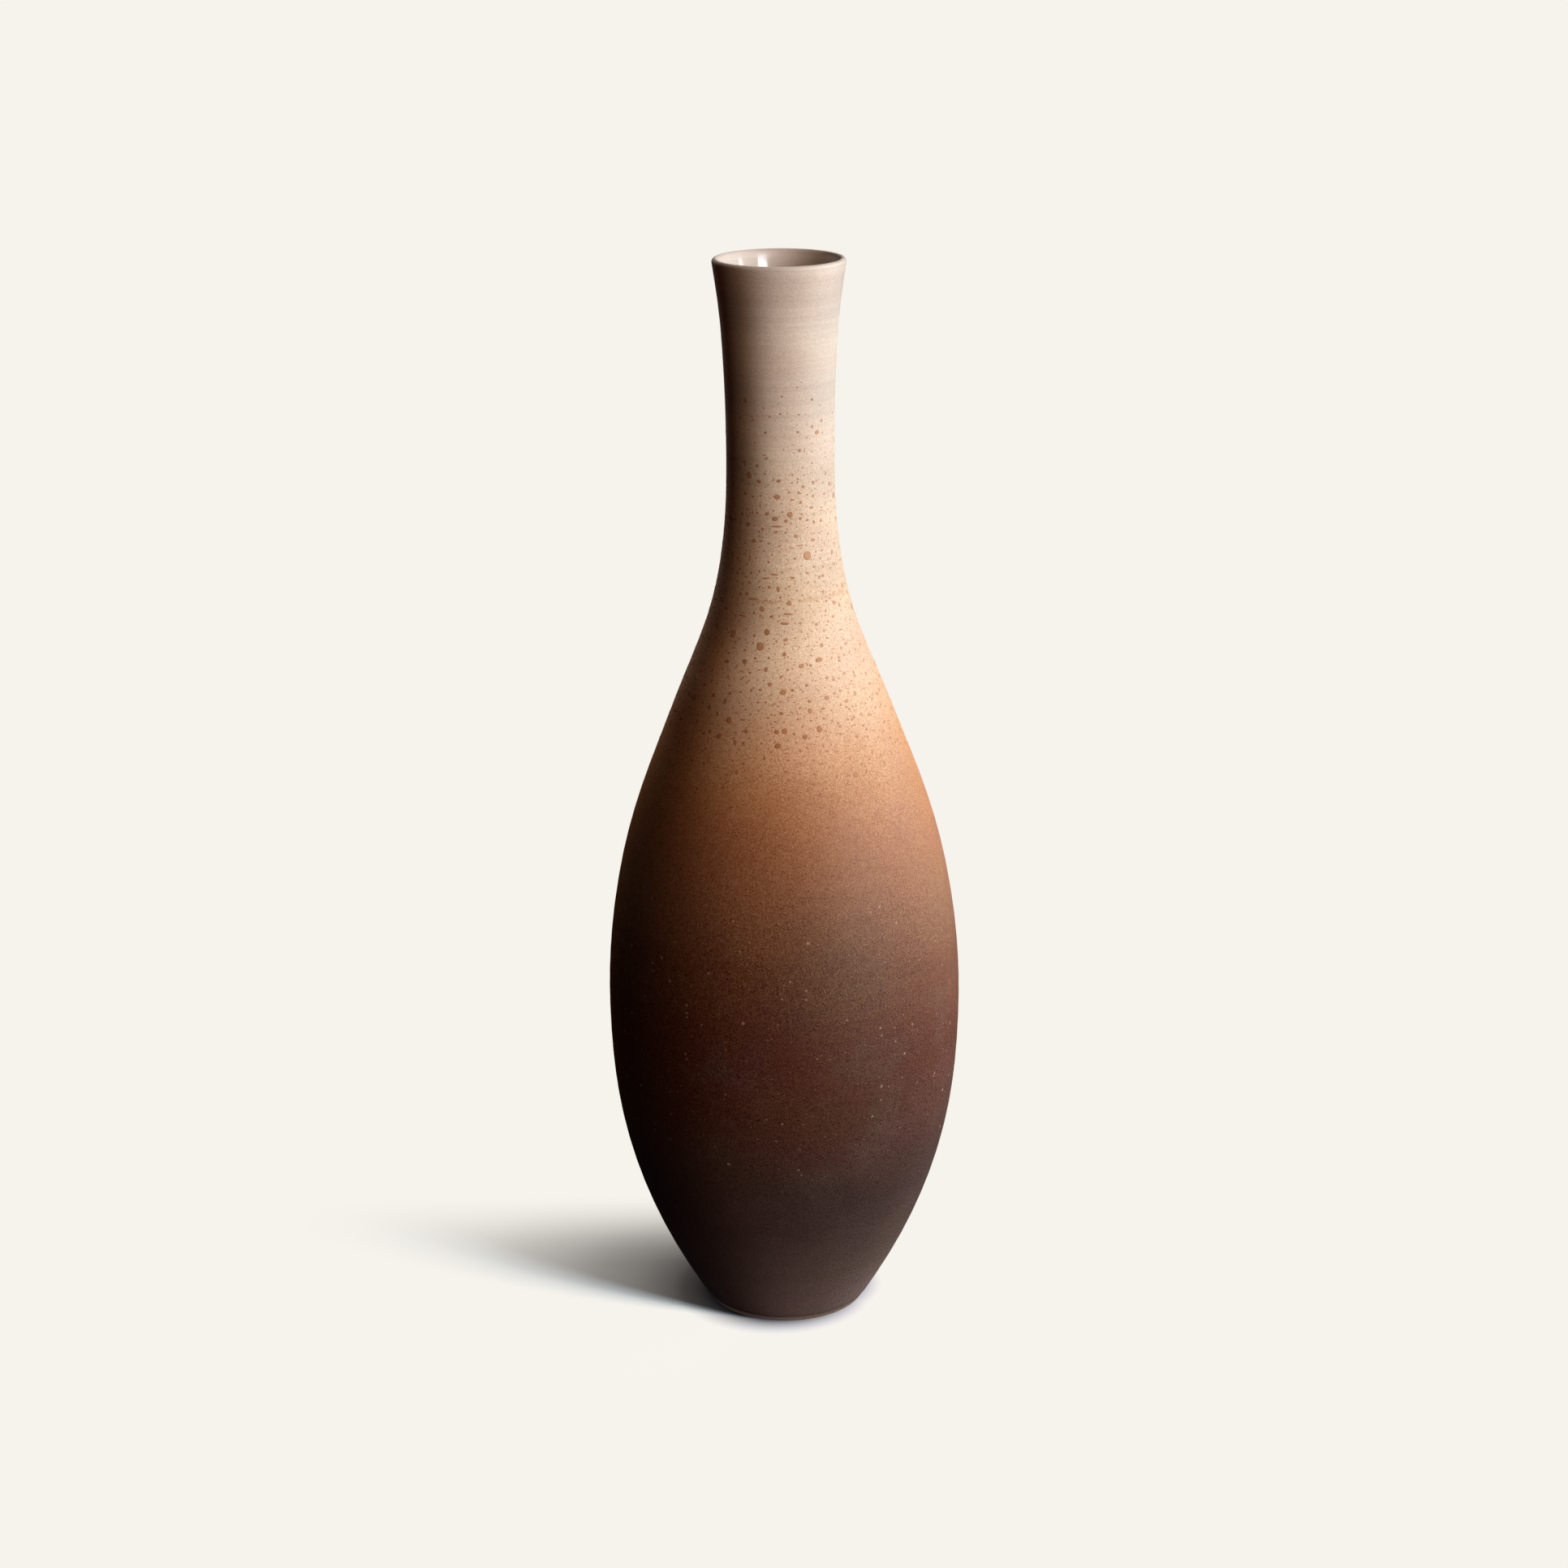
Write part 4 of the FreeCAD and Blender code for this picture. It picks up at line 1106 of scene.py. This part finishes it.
KEYS = [
    ("key_front", -56, 20, 15, (0.312, 0.210, 0.143)),
    ("key_middle", -30, 18, 15, (0.789, 0.865, 0.958)),
    ("key_right", 15, 16, 15, (0.624, 0.742, 0.769)),
]
for name, az, el, rad, rgb in KEYS:
    colour, top = tone(rgb)
    ob = sun(name, az, el, rad, colour, top, vase_group)
    if name == "key_middle":
        # its gloss on the matt slip is a little warmer than its light
        ob.visible_glossy = False
        sheen, high = tone((0.780, 0.790, 0.720))
        sun(name + "_gloss", az, el, rad, sheen, high, vase_group).visible_diffuse = False
    # the glaze takes the same light, but mirrors only the window panes below
    ob = sun(name + "_glaze", az, el, rad, colour, top, glaze_group)
    ob.visible_glossy = False


def spot(name, azimuth, elevation, distance, aim_z, half_angle, blend, rgb, group):
    """A soft-edged spot whose unshadowed facing radiance factor is rgb, like the suns' strength."""
    colour, top = tone(rgb)
    li = bpy.data.lights.new(name, "SPOT")
    li.spot_size = math.radians(2 * half_angle)
    li.spot_blend = blend
    li.shadow_soft_size = 0.18
    li.color = colour
    li.energy = top * 4 * math.pi * math.pi * distance * distance
    ob = bpy.data.objects.new(name, li)
    scene.collection.objects.link(ob)
    aim(ob, azimuth, elevation, distance, (0, 0, aim_z))
    ob.light_linking.receiver_collection = group
    return ob


# reflectors: one opens up the front of the neck, one the right side of the belly
spot("neck_reflector", -60, 8, 1.3, 0.325, 6.2, 0.70, (0.102, 0.083, 0.067), vase_group).visible_glossy = False
spot("belly_reflector", 38, 4, 1.3, 0.116, 5.6, 0.75, (1.15, 0.86, 0.68), vase_group).visible_glossy = False
spot("low_reflector", 40, 2, 1.3, 0.078, 3.9, 0.8, (0.80, 0.52, 0.42), vase_group).visible_glossy = False
# the pale floor's sheen along the right edge of the belly, and a dim cool light low on the shadow side
spot("edge_sheen", 48, -9, 1.3, 0.135, 4.6, 0.8, (0.205, 0.200, 0.180), vase_group).visible_diffuse = False
spot("low_cool", -146, 6, 1.0, 0.020, 3.7, 0.8, (0.15, 0.48, 0.72), vase_group).visible_glossy = False

# soft light for the far side, which the first view doesn't see
for name, az, el, rad, rgb in (("far_side", 98, 24, 25, (0.62, 0.62, 0.64)),):
    colour, top = tone(rgb)
    sun(name, az, el, rad, colour, top, vase_group).visible_glossy = False

# from below, for the turned foot alone
foot_group = bpy.data.collections.new("foot_light_group")
scene.collection.children.link(foot_group)
foot_group.objects.link(foot)
sun("under_light", -70, -78, 20, (1.0, 0.95, 0.90), 0.20, foot_group).visible_glossy = False

# the floor's own key, from the same side
for name, az, rgb in (("floor_key_cool", -43.5, (0.963, 1.146, 1.329)), ("floor_key_warm", -37, (1.295, 1.134, 0.963))):
    colour, top = tone(rgb)
    sun(name, az, 29, 4.4, colour, top, floor_group)


def window(name, azimuth, elevation, distance, width, height, colour, watts, group):
    li = bpy.data.lights.new(name, "AREA")
    li.shape = "RECTANGLE"
    li.size, li.size_y = width, height
    li.color = colour
    li.energy = watts
    ob = bpy.data.objects.new(name, li)
    scene.collection.objects.link(ob)
    aim(ob, azimuth, elevation, distance, (0, 0, 0.38))
    ob.visible_camera = False
    ob.visible_diffuse = False
    ob.light_linking.receiver_collection = group
    return ob


window("window_front", -56, 13, 1.6, 0.52, 0.46, (0.84, 0.92, 1.0), 13.0, glaze_group)
window("window_right", -6, 10, 1.6, 0.26, 0.46, (0.84, 0.92, 1.0), 2.6, glaze_group)

world = bpy.data.worlds.new("studio")
scene.world = world
world.use_nodes = True
wt = world.node_tree
wt.nodes.clear()
w_out = wt.nodes.new("ShaderNodeOutputWorld")
w_seen = wt.nodes.new("ShaderNodeBackground")
w_seen.inputs["Color"].default_value = (*PALE, 1)
w_seen.inputs["Strength"].default_value = 1.0
w_soft = wt.nodes.new("ShaderNodeBackground")
w_soft.inputs["Color"].default_value = (1.0, 0.33, 0.20, 1)
w_soft.inputs["Strength"].default_value = 0.017
w_path = wt.nodes.new("ShaderNodeLightPath")
w_mix = wt.nodes.new("ShaderNodeMixShader")
wt.links.new(w_path.outputs["Is Camera Ray"], w_mix.inputs[0])
wt.links.new(w_soft.outputs[0], w_mix.inputs[1])
wt.links.new(w_seen.outputs[0], w_mix.inputs[2])
wt.links.new(w_mix.outputs[0], w_out.inputs[0])

# ------------------------------------------------------------------ camera
cam_data = bpy.data.cameras.new("camera")
cam_data.sensor_fit = "HORIZONTAL"
cam_data.sensor_width = 36.0
cam_data.lens = 73.46
cam_data.clip_start, cam_data.clip_end = 0.01, 100.0
camera = bpy.data.objects.new("camera", cam_data)
scene.collection.objects.link(camera)
camera.matrix_world = (Matrix.Translation((0.00047, -1.13007, 0.56408))
                       @ Matrix.Rotation(math.radians(90 - 17.608), 4, "X")
                       @ Matrix.Rotation(math.radians(-0.41), 4, "Z"))
scene.camera = camera
scene.view_settings.view_transform = "Standard"
scene.view_settings.look = "None"
scene.cycles.max_bounces = 8
